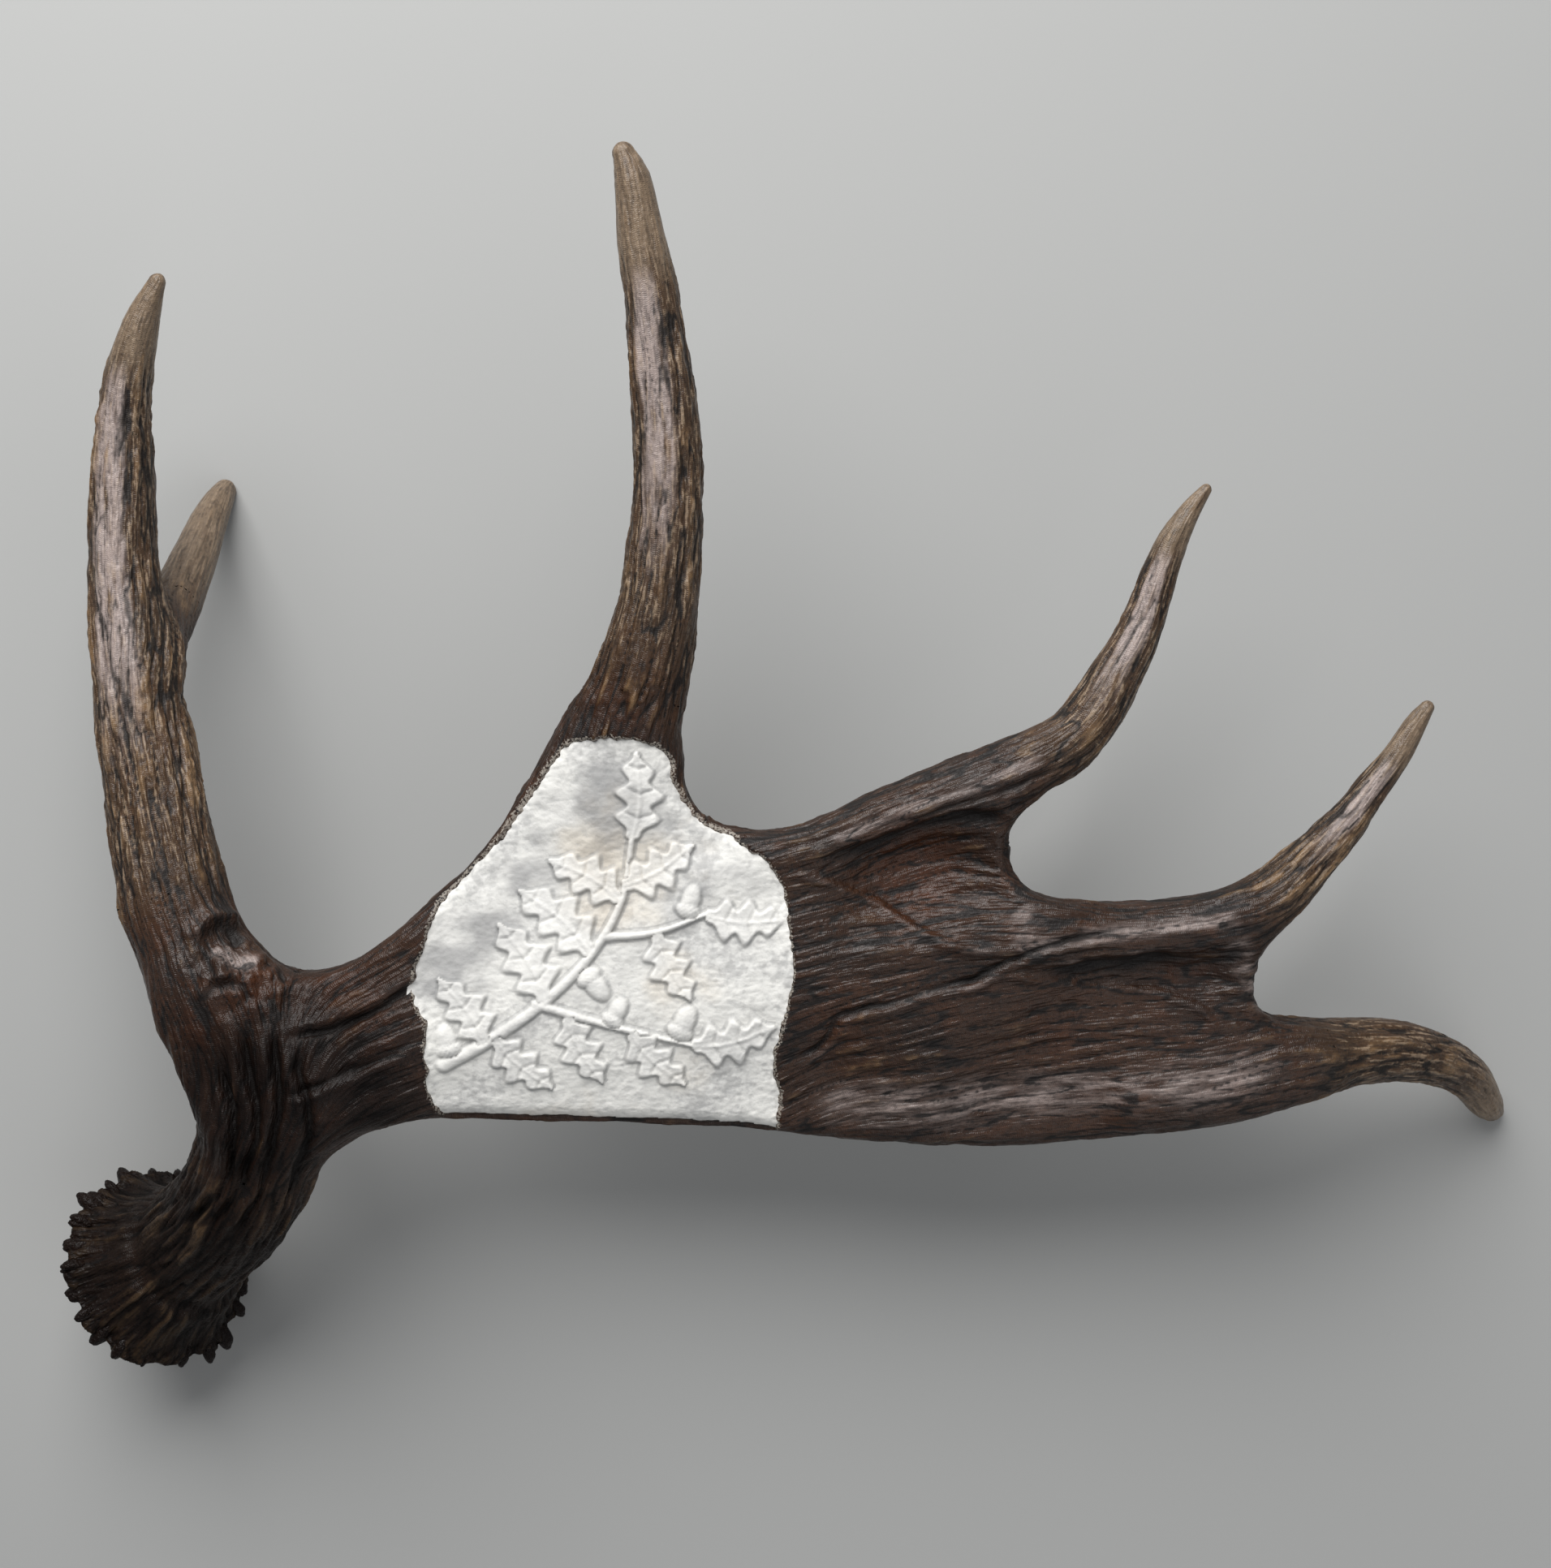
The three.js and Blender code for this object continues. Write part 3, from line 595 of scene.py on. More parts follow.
# How far back from its end each tip is rubbed, and how high the ridges are.
TIP_REACH = {"brow": 60, "spur": 125, "upper": 75, "middle": 50, "side": 45, "end": 60}
RIDGE_HEIGHT = {
    "beam": 0.95, "brow": 0.95, "spur": 0.6, "upper": 0.8, "middle": 0.6, "side": 0.55, "end": 0.6,
}
PALM_RIDGE_HEIGHT = 0.52
FORK_BEFORE = 40.0         # a limb's own bark begins this far before its fork
FORK_BEYOND = 25.0         # and is complete this far beyond it
BURR_BARK_REACH = 75.0     # the burr's own bark and seat lie this close to its middle
BURR_BARK_FADE = (2, 40)   # its bark dies away between these heights over the burr's plane
SEAT_FADE = (-4.5, -1.5)   # and the seat between these
SEAT_RIM_FADE = (BURR_RADIUS - 6, BURR_RADIUS + 1)  # and between these distances from its axis

# Veins, ledges and furrows of the upper side: places x, y along each, the height and half-width of its
# raised lip, and the depth and half-width of the groove on the left of the way it runs.
FOLDS = [
    ([(-12, -118), (2, -114), (11, -107), (16, -99), (26, -95), (40, -91), (53, -88), (64, -85), (77, -79),
      (87, -75), (96, -71), (107, -67), (124, -63), (149, -60)], 1.2, 2.4, 2.0, 1.4),
    ([(-10, -37), (6, -38), (19, -45), (29, -49), (40, -57), (57, -65), (78, -68), (98, -70)],
     1.5, 2.6, 0.9, 1.6),
    ([(80, -79), (103, -82), (125, -85), (152, -88), (167, -94), (174, -104)], 1.6, 2.0, 1.0, 1.5),
    ([(86, -8), (62, -9), (38, -15), (21, -22), (-2, -27)], 1.0, 2.6, 2.4, 3.4),
    ([(186, -63), (171, -67), (145, -68), (119, -71), (90, -75)], 0.9, 2.2, 2.2, 3.6),
    ([(104, 12), (80, 0), (50, -8), (20, -16)], 0.7, 2.0, 1.4, 1.6),
    ([(-156, -75), (-164, -80), (-177, -88), (-202, -97), (-217, -99)], 0.8, 2.4, 2.1, 2.0),
    ([(-213, -131), (-202, -127), (-194, -124), (-177, -116), (-164, -109), (-153, -104)],
     1.6, 2.6, 2.4, 1.9),
    ([(-243, -104), (-243, -118), (-239, -140), (-243, -160), (-253, -172), (-270, -191)],
     1.4, 2.6, 3.2, 1.8),
    ([(-235, -96), (-235, -110), (-230, -131), (-230, -148), (-241, -167), (-255, -186)], 1.5, 2.6, 3.6, 2.0),
    ([(-222, -96), (-222, -106), (-219, -127), (-222, -148), (-232, -171), (-246, -190)], 1.4, 2.6, 3.2, 1.8),
    ([(-208, -104), (-211, -114), (-207, -135), (-211, -152), (-222, -176)], 1.2, 2.4, 2.8, 1.7),
    ([(-230, -66), (-233, -58), (-240, -53), (-248, -55), (-253, -64)], 2.2, 1.9, 3.0, 2.4),
    ([(-224, -86), (-232, -78), (-244, -80), (-250, -90)], 1.6, 1.8, 2.2, 1.8),
    ([(-212, -80), (-220, -70), (-228, -73)], 1.4, 1.7, 2.0, 1.6),
]

# Knobs and hollows of the upper side: x, y, radius and height.
BUMPS = [
    (-250, -60, 4.6, 1.9), (-245, -53, 4.2, 1.7), (-237, -55, 4, 1.9), (-230, -62, 4, 1.5),
    (-243, -63, 5.4, -3.6), (-235, -70, 4.8, -3), (-248, -72, 4, -2), (-240, -77, 4.4, 1.8),
    (-228, -72, 4, 1.7), (-222, -67, 3.6, -1.6), (-221, -76, 4, 1.7), (-233, -84, 4, 1.7),
    (-226, -82, 3, -1.8), (-216, -83, 3.4, 1.3), (-245, -85, 4.2, 1.3), (-237, -91, 4, -1.6),
    (-213, -76, 4, -1.4), (-226, -91, 3.6, 1.2), (-212, -90, 4, -1.2), (28, -37, 15, -2.8),
    (56, -31, 17, -3.6), (80, -34, 12, -2), (104, -113, 24, -2.6), (60, -110, 20, -1.4),
    (148, -77, 9, -2.6), (167, -79, 10, -3.2),
]
SMALL_BUMP = 8.0           # bumps of a smaller radius are worn smooth

# Soft round patches of the upper side: x, y, radius and strength. The burl is the scarred boss at the fork.
BURL = (-236, -72, 15, 1.0)
# Near-black patches: partly the bark's dark stain, partly painted shade low on the beam, in the forks and on
# the palm's lower part.
DARK_STAIN_AND_SHADE_PATCHES = [
    (-240, -150, 36, 0.9), (-222, -118, 26, 0.85), (-198, -112, 24, 0.75), (-180, -128, 28, 0.85),
    (-168, -84, 18, 0.4), (-70, 42, 26, 0.4), (-242, -112, 20, 0.6), (-205, -92, 14, 0.3),
    (-20, -128, 18, 0.4),
]
REDDISH = [
    (45, -36, 26, 0.9), (12, -98, 18, 0.5), (105, -105, 26, 0.45), (160, -78, 16, 0.5), (-192, -84, 20, 0.6),
    (-226, -82, 16, 0.7), (-76, 36, 22, 0.6), (-178, -104, 16, 0.5), (-250, -100, 14, 0.6),
]
# Bands of lilac grey painted sheen, a painted highlight: places x, y along each, half-width and strength.
PAINTED_SHEEN_BANDS = [
    ([(-6, -133), (50, -134), (100, -131), (150, -127), (190, -120), (215, -117)], 12.0, 0.5),
    ([(84, -68), (110, -63), (150, -58), (186, -54)], 4.5, 0.6),
    ([(4, -24), (40, -11), (80, 4), (104, 16)], 4.0, 0.45),
    ([(86, -50), (92, -60), (88, -70)], 7.0, 0.5),
    ([(176, -62), (186, -80), (196, -98)], 7.0, 0.45),
    ([(-244, -64), (-236, -71), (-226, -74)], 4.0, 0.7),
    ([(-20, -138), (-150, -136)], 3.0, 0.2),
]
PANEL_SINK = 3.6           # the bark's skin drops this far where the panel lies over it
PANEL_LOWEST = 55.0        # the palm's upper side is all higher than this
SCRAPED_WIDTH = 1.9        # the bark is scraped and frayed this far on both sides of the panel's edge


def path_offset(path, points):
    """Signed distance in plan to a path, positive on its left, and how far along it, from 0 to 1."""
    start, end = np.array(path[:-1], float), np.array(path[1:], float)
    step = end - start
    length = np.linalg.norm(step, axis=1)
    run = np.r_[0, np.cumsum(length)]
    best = np.full(len(points), np.inf)
    side = np.zeros(len(points))
    along = np.zeros(len(points))
    for index, (origin, way) in enumerate(zip(start, step)):
        offset = points[:, :2] - origin
        share = np.clip(offset @ way / length[index] ** 2, 0, 1)
        gap = np.linalg.norm(offset - share[:, None] * way, axis=1)
        closer = gap < best
        best[closer] = gap[closer]
        cross = way[0] * offset[:, 1] - way[1] * offset[:, 0]
        side[closer] = np.sign(cross[closer]) * gap[closer]
        along[closer] = (run[index] + share[closer] * length[index]) / run[-1]
    return side, along


def curve_offset(path, points):
    """Signed distance in plan to a smooth curve through the path's places, and how far along it."""
    return path_offset(catmull_rom(path, 4), points)


def patches(spots, points):
    """How far each point lies in any of some soft round patches."""
    clear = np.ones(len(points))
    for x, y, radius, strength in spots:
        clear *= 1 - strength * round_spot(points, x, y, radius)
    return 1 - clear


def landmarks(points, normals):
    """Where each point lies on its limb, near the burr and on the upper side."""
    nearest = np.full(len(points), FAR)
    height = np.full(len(points), PALM_RIDGE_HEIGHT)
    tip, free, beam, outer = np.zeros((4, len(points)))
    for name, limb in LIMB.items():
        close = np.flatnonzero(limb.near(points))
        distance, station, _ = chunk_read(limb, points[close])
        closer = distance < nearest[close]
        close, station = close[closer], station[closer]
        nearest[close] = distance[closer]
        fork, end = FORKS[name], limb.length
        if name == "beam":
            share = 1 - fade(fork - FORK_BEYOND, fork + FORK_BEFORE, station)
            beam[close] = share
        else:
            share = fade(fork - FORK_BEFORE, fork + FORK_BEYOND, station)
            beam[close] = 0
            outer[close] = fade(fork, fork + 0.5 * (end - fork), station)
            tip[close] = fade(end - TIP_REACH[name], end - 0.3 * TIP_REACH[name], station)
        free[close] = share
        height[close] = PALM_RIDGE_HEIGHT + share * (RIDGE_HEIGHT[name] - PALM_RIDGE_HEIGHT)
    up, radial, _ = burr_reading(points)
    near_foot = from_foot(points) < BURR_BARK_REACH
    return {
        "height": height, "tip": tip, "free": free, "outer": outer, "beam": beam,
        "burr": near_foot * (1 - fade(*BURR_BARK_FADE, up)),
        "seat": near_foot * (1 - fade(*SEAT_FADE, up)) * (1 - fade(*SEAT_RIM_FADE, radial)),
        "upper": fade(0.05, 0.45, normals[:, 2]),
    }


def chunk_read(limb, points):
    """What a limb reads at many points, in parts that fit the memory."""
    parts = [limb.read(points[i:i + CHUNK]) for i in range(0, len(points), CHUNK)]
    return [np.concatenate(column) for column in zip(*parts)]


@chunks
def panel_distance(points):
    """Distance in plan to the panel's outline, negative inside it."""
    return outline_distance(PANEL_RIM, points)


def panel_edge(points):
    """Distance in plan to the panel's ragged edge, negative over the panel."""
    plan = np.c_[points[:, :2], np.zeros(len(points))]
    ragged = 1.6 * Noise(21, 11.0)(plan) + 0.7 * Noise(22, 4.6)(plan) + 0.5 * Noise(23, 2.1)(plan)
    return panel_distance(points) + ragged


# ---- The whole skin, with its ridges ----


def folded(points, upper):
    """Height of the veins, furrows, knobs and hollows, the painted shade, by depth, in their valleys and the
    burl's pits, and how smooth they leave each point.
    """
    lift = np.zeros(len(points))
    hollow_shade = np.zeros(len(points))
    smooth = np.zeros(len(points))
    stray = 1.3 * Noise(35, 12.0)(points) + 0.5 * Noise(36, 4.0)(points)
    swell = np.clip(0.85 + 0.6 * Noise(37, 14.0)(points), 0.25, 1.3) * upper
    for path, lip, lip_width, depth, width in FOLDS:
        offset, along = curve_offset(path, points)
        offset = offset + stray
        ends = fade(0, 0.12, along) * (1 - fade(0.8, 1, along)) * swell
        crest = hump(offset, lip_width)
        valley = hump(offset - 0.7 * lip_width - width, width)
        lift += ends * (lip * crest - depth * valley)
        # painted shade in the fold's valley, stronger where it is deeper
        hollow_shade = np.maximum(hollow_shade, ends * valley * min(depth / 2, 1))
        smooth = np.maximum(smooth, ends * crest * 0.7)
    burl = patches([BURL], points) * upper
    scar = np.abs(Noise(38, 6.5)(points))
    lift += burl * (4.0 * scar - 1.3 + 1.2 * np.abs(Noise(39, 2.6)(points)))
    # painted shade in the burl's pits
    hollow_shade = np.maximum(hollow_shade, burl * (1 - fade(0.02, 0.12, scar)))
    for x, y, radius, rise in BUMPS:
        reach = round_spot(points, x, y, radius) * upper
        lift += rise * reach
        if radius < SMALL_BUMP:
            smooth = np.maximum(smooth, 0.6 * reach)
    return lift, hollow_shade, smooth


def flutes(points):
    """The burr's fluting: folds that fan out from the beam to the rim, from 0 in the grooves to about 1."""
    height, _, angle = burr_reading(points)
    turn = np.radians(angle + 6 * Noise(52, 14.0)(points))
    round_rim = np.stack([np.cos(turn), np.sin(turn), 0.003 * height], 1) * BURR_RADIUS
    return np.abs(Noise(51, 9.0)(round_rim)) + 0.3 * np.abs(Noise(53, 4.0)(round_rim))


def painted_sheen_reach(points, normals, place):
    """Where the lilac grey painted sheen lies: the tines' upper crests that face the light, and some bands of
    the palm.
    """
    # painted highlight: crests whose normals face the light at the upper left
    crown = fade(0.76, 0.96, normals @ np.array([-0.22, 0.06, 0.97]))
    reach = 0.9 * crown * place["outer"] ** 1.6 * (1 - fade(0.35, 0.85, place["tip"]))
    for path, width, strength in PAINTED_SHEEN_BANDS:
        offset, along = path_offset(path, points)
        ends = fade(0, 0.1, along) * (1 - fade(0.85, 1, along))
        reach = np.maximum(reach, strength * hump(offset, width) * ends * place["upper"])
    return reach


# The noise of the ridges has a mean height of RIDGE_MEAN over its zero lines, which are the fissures.
RIDGE_MEAN = 0.8
RIDGE_TOP = 1.9            # higher ridges are cut off here
FISSURE_WIDTH = 0.24       # in the same unit


@lru_cache(maxsize=1)
def antler_skin(ridge_height):
    """The antler's ridged skin: points, faces and what the materials read at each point."""
    base, faces = surface_net()
    normals = unit(slope_at(base)[1])
    flow = growth_grid()
    coarse, middle, fine = combed(base, flow)
    place = landmarks(base, normals)
    patch = Noise(32, 17.0)(base)
    bead = Noise(34, 2.5)(base)
    red = patches(REDDISH, base) * place["upper"]
    # painted sheen on the upper crests and on bands of the palm
    painted_sheen = painted_sheen_reach(base, normals, place)
    rough_tip = 1 - 0.8 * place["tip"]
    calm = np.clip(0.9 + 0.5 * patch, 0.4, 1.3) * (1 - 0.35 * painted_sheen)

    tall = np.minimum(np.abs(coarse), RIDGE_TOP)
    low = np.minimum(np.abs(middle), RIDGE_TOP)
    ridge = tall - RIDGE_MEAN + 0.5 * (low - RIDGE_MEAN) + 0.2 * fine + (0.25 + 0.5 * red) * bead
    ridge = place["height"] * rough_tip * calm * (1 - 0.6 * place["burr"]) * ridge
    ridge += place["burr"] * (3.2 * flutes(base) - 1.9)
    ridge += place["seat"] * 0.8 * Noise(33, 2.6)(base)
    folds, hollow_shade, smooth = folded(base, place["upper"])
    lift = ridge_height * ridge * (1 - 0.5 * smooth) + folds
    lift += 0.35 * Noise(31, 26.0)(base) * (1 - place["tip"])

    panel = panel_edge(base)
    high = base[:, 2] > PANEL_LOWEST
    sink = (1 - fade(-1.6, 0.4, panel)) * fade(0.12, 0.36, normals[:, 2]) * high
    points = base + normals * (lift - PANEL_SINK * sink)[:, None]
    points[:, 2] = np.maximum(points[:, 2], 0)

    fissure = hump(coarse, FISSURE_WIDTH) + 0.6 * hump(middle, FISSURE_WIDTH)
    # side is painted shade: the palm and the beam are darkened where they face sideways or down.
    side = 1 - fade(-0.3, 0.3, normals[:, 2])
    # The dark mark: the patches, the beam and the burr, partly their dark stain and partly painted shade.
    dark_stain_and_shade = np.maximum(patches(DARK_STAIN_AND_SHADE_PATCHES, base) * place["upper"], 0.9 * place["beam"])
    dark_stain_and_shade = np.maximum(dark_stain_and_shade, place["burr"])
    worn = 0.25 - 0.2 * place["burr"]
    crest = fade(0.55, 1.5, np.abs(coarse)) * 0.65 + fade(0.5, 1.5, np.abs(middle)) * 0.35
    marks = {
        # the fissures' dark stain, and painted shade in the valleys of the folds and the burl's pits
        "groove_stain_and_shade": np.maximum(hollow_shade, fissure * rough_tip * (1 - 0.4 * painted_sheen)),
        "crest": crest * (0.8 + 0.4 * bead) * np.clip(0.75 + 0.9 * patch, 0.15, 1.2)
        * (0.45 + 0.55 * place["free"]),
        # painted sheen, also on the smooth lips of the veins and on the small knobs
        "painted_sheen": np.maximum(painted_sheen, smooth * 0.35 * (1 - 0.7 * dark_stain_and_shade))
        * np.clip(0.9 + 0.2 * middle + 0.15 * fine, 0, 1.2),
        "free": place["free"] * (1 - 0.5 * dark_stain_and_shade),
        "scraped": hump(panel, SCRAPED_WIDTH) * place["upper"] * high,
        "red": red * (0.8 + 0.3 * bead),
        "dark_stain_and_shade": np.maximum(dark_stain_and_shade, 0.7 * side * (1 - place["free"])) * (1 - worn * crest),
        "tip": place["tip"] * np.clip(0.9 + 0.2 * middle, 0, 1),
        "seat": place["seat"],
    }
    marks = {name: np.clip(value, 0, 1) for name, value in marks.items()}
    marks["growth"] = flow(base)
    return points, faces, marks


# ---- Pieces ----

LIMB_REACH = 24            # no tine's skin is further than this from its middle line


def add_marks(mesh, marks):
    """Stores what the materials read at each point: values, and the direction of growth."""
    for mark, values in marks.items():
        values = np.asarray(values, np.float32)
        kind, field = ("FLOAT", "value") if values.ndim == 1 else ("FLOAT_VECTOR", "vector")
        mesh.attributes.new(mark, kind, "POINT").data.foreach_set(field, values.ravel())


def skin_mesh(name, points, faces, marks):
    """A mesh in metres with its marks, its openings closed."""
    mesh = bpy.data.meshes.new(name)
    mesh.from_pydata((points * MM).tolist(), [], faces.tolist())
    bm = bmesh.new()
    bm.from_mesh(mesh)
    rims = [edge for edge in bm.edges if edge.is_boundary]
    caps = bmesh.ops.holes_fill(bm, edges=rims, sides=0)["faces"]
    bmesh.ops.triangulate(bm, faces=caps, ngon_method="EAR_CLIP")
    bm.to_mesh(mesh)
    bm.free()
    add_marks(mesh, marks)
    return mesh


def point_normals(points, faces):
    """Normals of the skin, which neighbouring pieces share so that no fork shows a seam."""
    a, b, c, d = (points[faces[:, corner]] for corner in range(4))
    facing = np.cross(c - a, d - b)
    normals = np.zeros_like(points)
    for corner in range(4):
        for axis in range(3):
            normals[:, axis] += np.bincount(faces[:, corner], facing[:, axis], len(points))
    return unit(normals)


def put(name, mesh):
    """Puts a mesh into the scene as an object."""
    piece = bpy.data.objects.new(name, mesh)
    bpy.context.collection.objects.link(piece)
    return piece


def show(name, mesh, normals=None):
    """Puts a mesh into the scene, smooth all over."""
    mesh.shade_smooth()
    if normals is not None:
        mesh.normals_split_custom_set_from_vertices(normals.tolist())
    return put(name, mesh)


def belongs(name, middles):
    """Which faces lie beyond a limb's fork, on its free side."""
    limb = LIMB[name]
    place, along = limb.at(FORKS[name])
    free = limb.station < FORKS[name] if name == "beam" else limb.station > FORKS[name]
    reach = BURR_RADIUS if name == "beam" else LIMB_REACH
    inside = in_box(middles, limb.point[free].min(0) - reach, limb.point[free].max(0) + reach)
    beyond = (middles - place) @ along * (-1 if name == "beam" else 1) > 0
    found = np.flatnonzero(inside & beyond)
    if name == "spur":
        own = chunk_read(limb, middles[found])[0]
        found = found[own < chunk_read(LIMB["brow"], middles[found])[0]]
    return found


@lru_cache(maxsize=1)
def parted_skin(ridge_height):
    """Which limb or half of the palm each of the skin's faces belongs to, and the skin's normals."""
    points, faces, _ = antler_skin(ridge_height)
    middles = points[faces].mean(1)
    owner = np.where(middles[:, 0] < PALM_PARTING, "palm_base", "palm_fan").astype("<U12")
    for name in LIMBS:
        owner[belongs(name, middles)] = name
    return owner, point_normals(points, faces)


def part_piece(name, owner_name, settings):
    """One piece of the skin as an object."""
    points, faces, marks = antler_skin(settings.ridge_height)
    owner, normals = parted_skin(settings.ridge_height)
    used, spread = np.unique(faces[owner == owner_name], return_inverse=True)
    own_marks = {mark: values[used] for mark, values in marks.items()}
    mesh = skin_mesh(name, points[used], spread.reshape(-1, 4), own_marks)
    return show(name, mesh, normals[used])


# ---- The carved panel ----

PANEL_CELL = 0.66  # side of the panel's squares
PANEL_LAP = 3.5            # the panel runs this far under the bark around it
PANEL_THICK = 2.5          # from the form's skin to the panel's hidden underside
RELIEF = 2.0               # height of the carving over its ground
STEEPEST = 0.28            # the panel stops where the form's normal rises less than this
OVER_PALM = 118.0          # the search for the palm's upper side starts at this height
PALM_LOWEST = 60.0         # and what it finds lower than this isn't the upper side
ON_SKIN = 0.3              # a place found counts if it is this close to the skin
# Grey patches in the bone: x, y, radius and strength. The strong ones at the top and left are grey stains;
# the broad weak ones are painted shade that leaves the panel greyer above and paler towards the bottom.
GREY_STAIN_AND_SHADE_PATCHES = [
    (-84, -8, 24, 0.8), (-112, -36, 18, 0.65), (-148, -76, 18, 0.9), (-130, -58, 14, 0.7),
    (-30, -44, 18, 0.35), (-80, -78, 34, 0.25), (-64, -30, 30, 0.3),
]

# An oak spray: the branches as paths, then leaves and acorns by place, direction in degrees and length.
BRANCHES = [
    ([(-150, -116), (-128, -103), (-106, -87), (-88, -68), (-76, -46), (-72, -22)], 3.0),
    ([(-112, -90), (-92, -96), (-70, -102), (-46, -108)], 2.2),
    ([(-84, -62), (-62, -60), (-40, -52)], 2.0),
]
LEAVES = [
    (-133, -107, 122, 34), (-108, -89, 118, 38), (-89, -69, 136, 40), (-77, -47, 148, 34), (-72, -22, 84, 36),
    (-76, -41, 28, 34), (-42, -53, -6, 34), (-62, -60, -66, 32), (-48, -108, 10, 36), (-73, -102, -48, 32),
    (-99, -95, -66, 32), (-129, -104, -46, 32),
]
ACORNS = [
    (-92, -76, -52, 15), (-54, -105, 66, 15), (-50, -54, 74, 14), (-147, -112, 104, 14), (-82, -99, 60, 13),
]


def turned(points, x, y, degrees, length):
    """Points in the frame of a motif: from 0 to 1 along it, and across in the same unit."""
    angle = math.radians(degrees)
    offset = points[:, :2] - (x, y)
    along = (offset[:, 0] * math.cos(angle) + offset[:, 1] * math.sin(angle)) / length
    across = (offset[:, 1] * math.cos(angle) - offset[:, 0] * math.sin(angle)) / length
    return along, across


def leaf_height(points, x, y, degrees, length):
    """An oak leaf in low relief: lobed, with a raised midrib and sunk side veins."""
    along, across = turned(points, x, y, degrees, length)
    across = across + 0.05 * np.sin(4 * along)
    share = np.clip(along, 0, 1)
    lobes = 0.78 + 0.28 * np.cos(2 * math.pi * (3.6 * share + 0.12))
    half = 0.3 * np.sin(math.pi * share**0.8) ** 0.7 * lobes + 0.006
    body = np.clip(1 - np.abs(across) / half, 0, 1) * ((along > 0) & (along < 1))
    side = np.abs(np.sin(math.pi * (3.6 * share - 1.5 * np.abs(across) + 0.1)))
    height = np.minimum(body * 4, 1) * (0.6 + 0.4 * (1 - body))
    height += 0.3 * hump(across, 0.02) * (body > 0)
    return height - 0.3 * hump(side, 0.2) * np.minimum(body * 3, 1)


def acorn_height(points, x, y, degrees, length):
    """An acorn: a smooth nut in a scaly cup."""
    along, across = turned(points, x, y, degrees, length)
    nut = np.clip(1 - ((along - 0.55) / 0.5) ** 2 - (across / 0.3) ** 2, 0, 1) ** 0.5
    cup = np.clip(1 - ((along - 0.22) / 0.26) ** 2 - (across / 0.38) ** 2, 0, 1) ** 0.5
    scales = np.abs(np.sin(22 * (along + across)) * np.sin(22 * (along - across)))
    return np.maximum(1.1 * nut, cup * (1.15 + 0.3 * scales))


def carving(points):
    """Height of the oak spray over the panel's ground."""
    height = np.zeros(len(points))
    for path, radius in BRANCHES:
        offset, along = curve_offset(path, points)
        half = radius * (1 - 0.55 * along)
        height = np.maximum(height, 1.05 * np.clip(1 - (offset / half) ** 2, 0, 1) ** 0.5)
    for leaf in LEAVES:
        rise = leaf_height(points, *leaf)
        lapped = rise > 0.02
        height[lapped] = np.maximum(height[lapped] * 0.5, rise[lapped])
    for acorn in ACORNS:
        rise = acorn_height(points, *acorn)
        height = np.where(rise > 0.05, np.maximum(0.3 * height, rise), height)
    return height


def top_of_form(plan):
    """The form's upper side over places in plan, and whether each lies where that side isn't too steep."""
    points = np.c_[plan, np.full(len(plan), OVER_PALM)]
    for _ in range(7):
        points[:, 2] -= antler_distance(points)
    step, longest = 0.5, 3
    for _ in range(4):
        value = antler_distance(points)
        rise = (value - antler_distance(points - (0, 0, step))) / step
        points[:, 2] -= np.clip(value / np.maximum(rise, STEEPEST), -longest, longest)
    value, slope = slope_at(points)
    normals = unit(slope)
    gentle = (np.abs(value) < ON_SKIN) & (normals[:, 2] > STEEPEST) & (points[:, 2] > PALM_LOWEST)
    return points, normals, gentle


def panel_grid():
    """The panel's squares: places on the form, normals and faces."""
    low, high = PANEL_RIM.min(0) - PANEL_LAP - 2, PANEL_RIM.max(0) + PANEL_LAP + 2
    counts = np.ceil((high - low) / PANEL_CELL).astype(int)
    plan = (low + PANEL_CELL * lattice(counts)).reshape(-1, 2)
    kept = np.flatnonzero(panel_distance(plan) < PANEL_LAP)
    points, normals, gentle = top_of_form(plan[kept])
    number = np.full(len(plan), -1)
    number[kept[gentle]] = np.arange(gentle.sum())
    square = number.reshape(counts)
    faces = np.stack([square[:-1, :-1], square[1:, :-1], square[1:, 1:], square[:-1, 1:]], -1).reshape(-1, 4)
    faces = faces[(faces >= 0).all(1)]
    used, spread = np.unique(faces, return_inverse=True)
    return points[gentle][used], normals[gentle][used], spread.reshape(-1, 4)


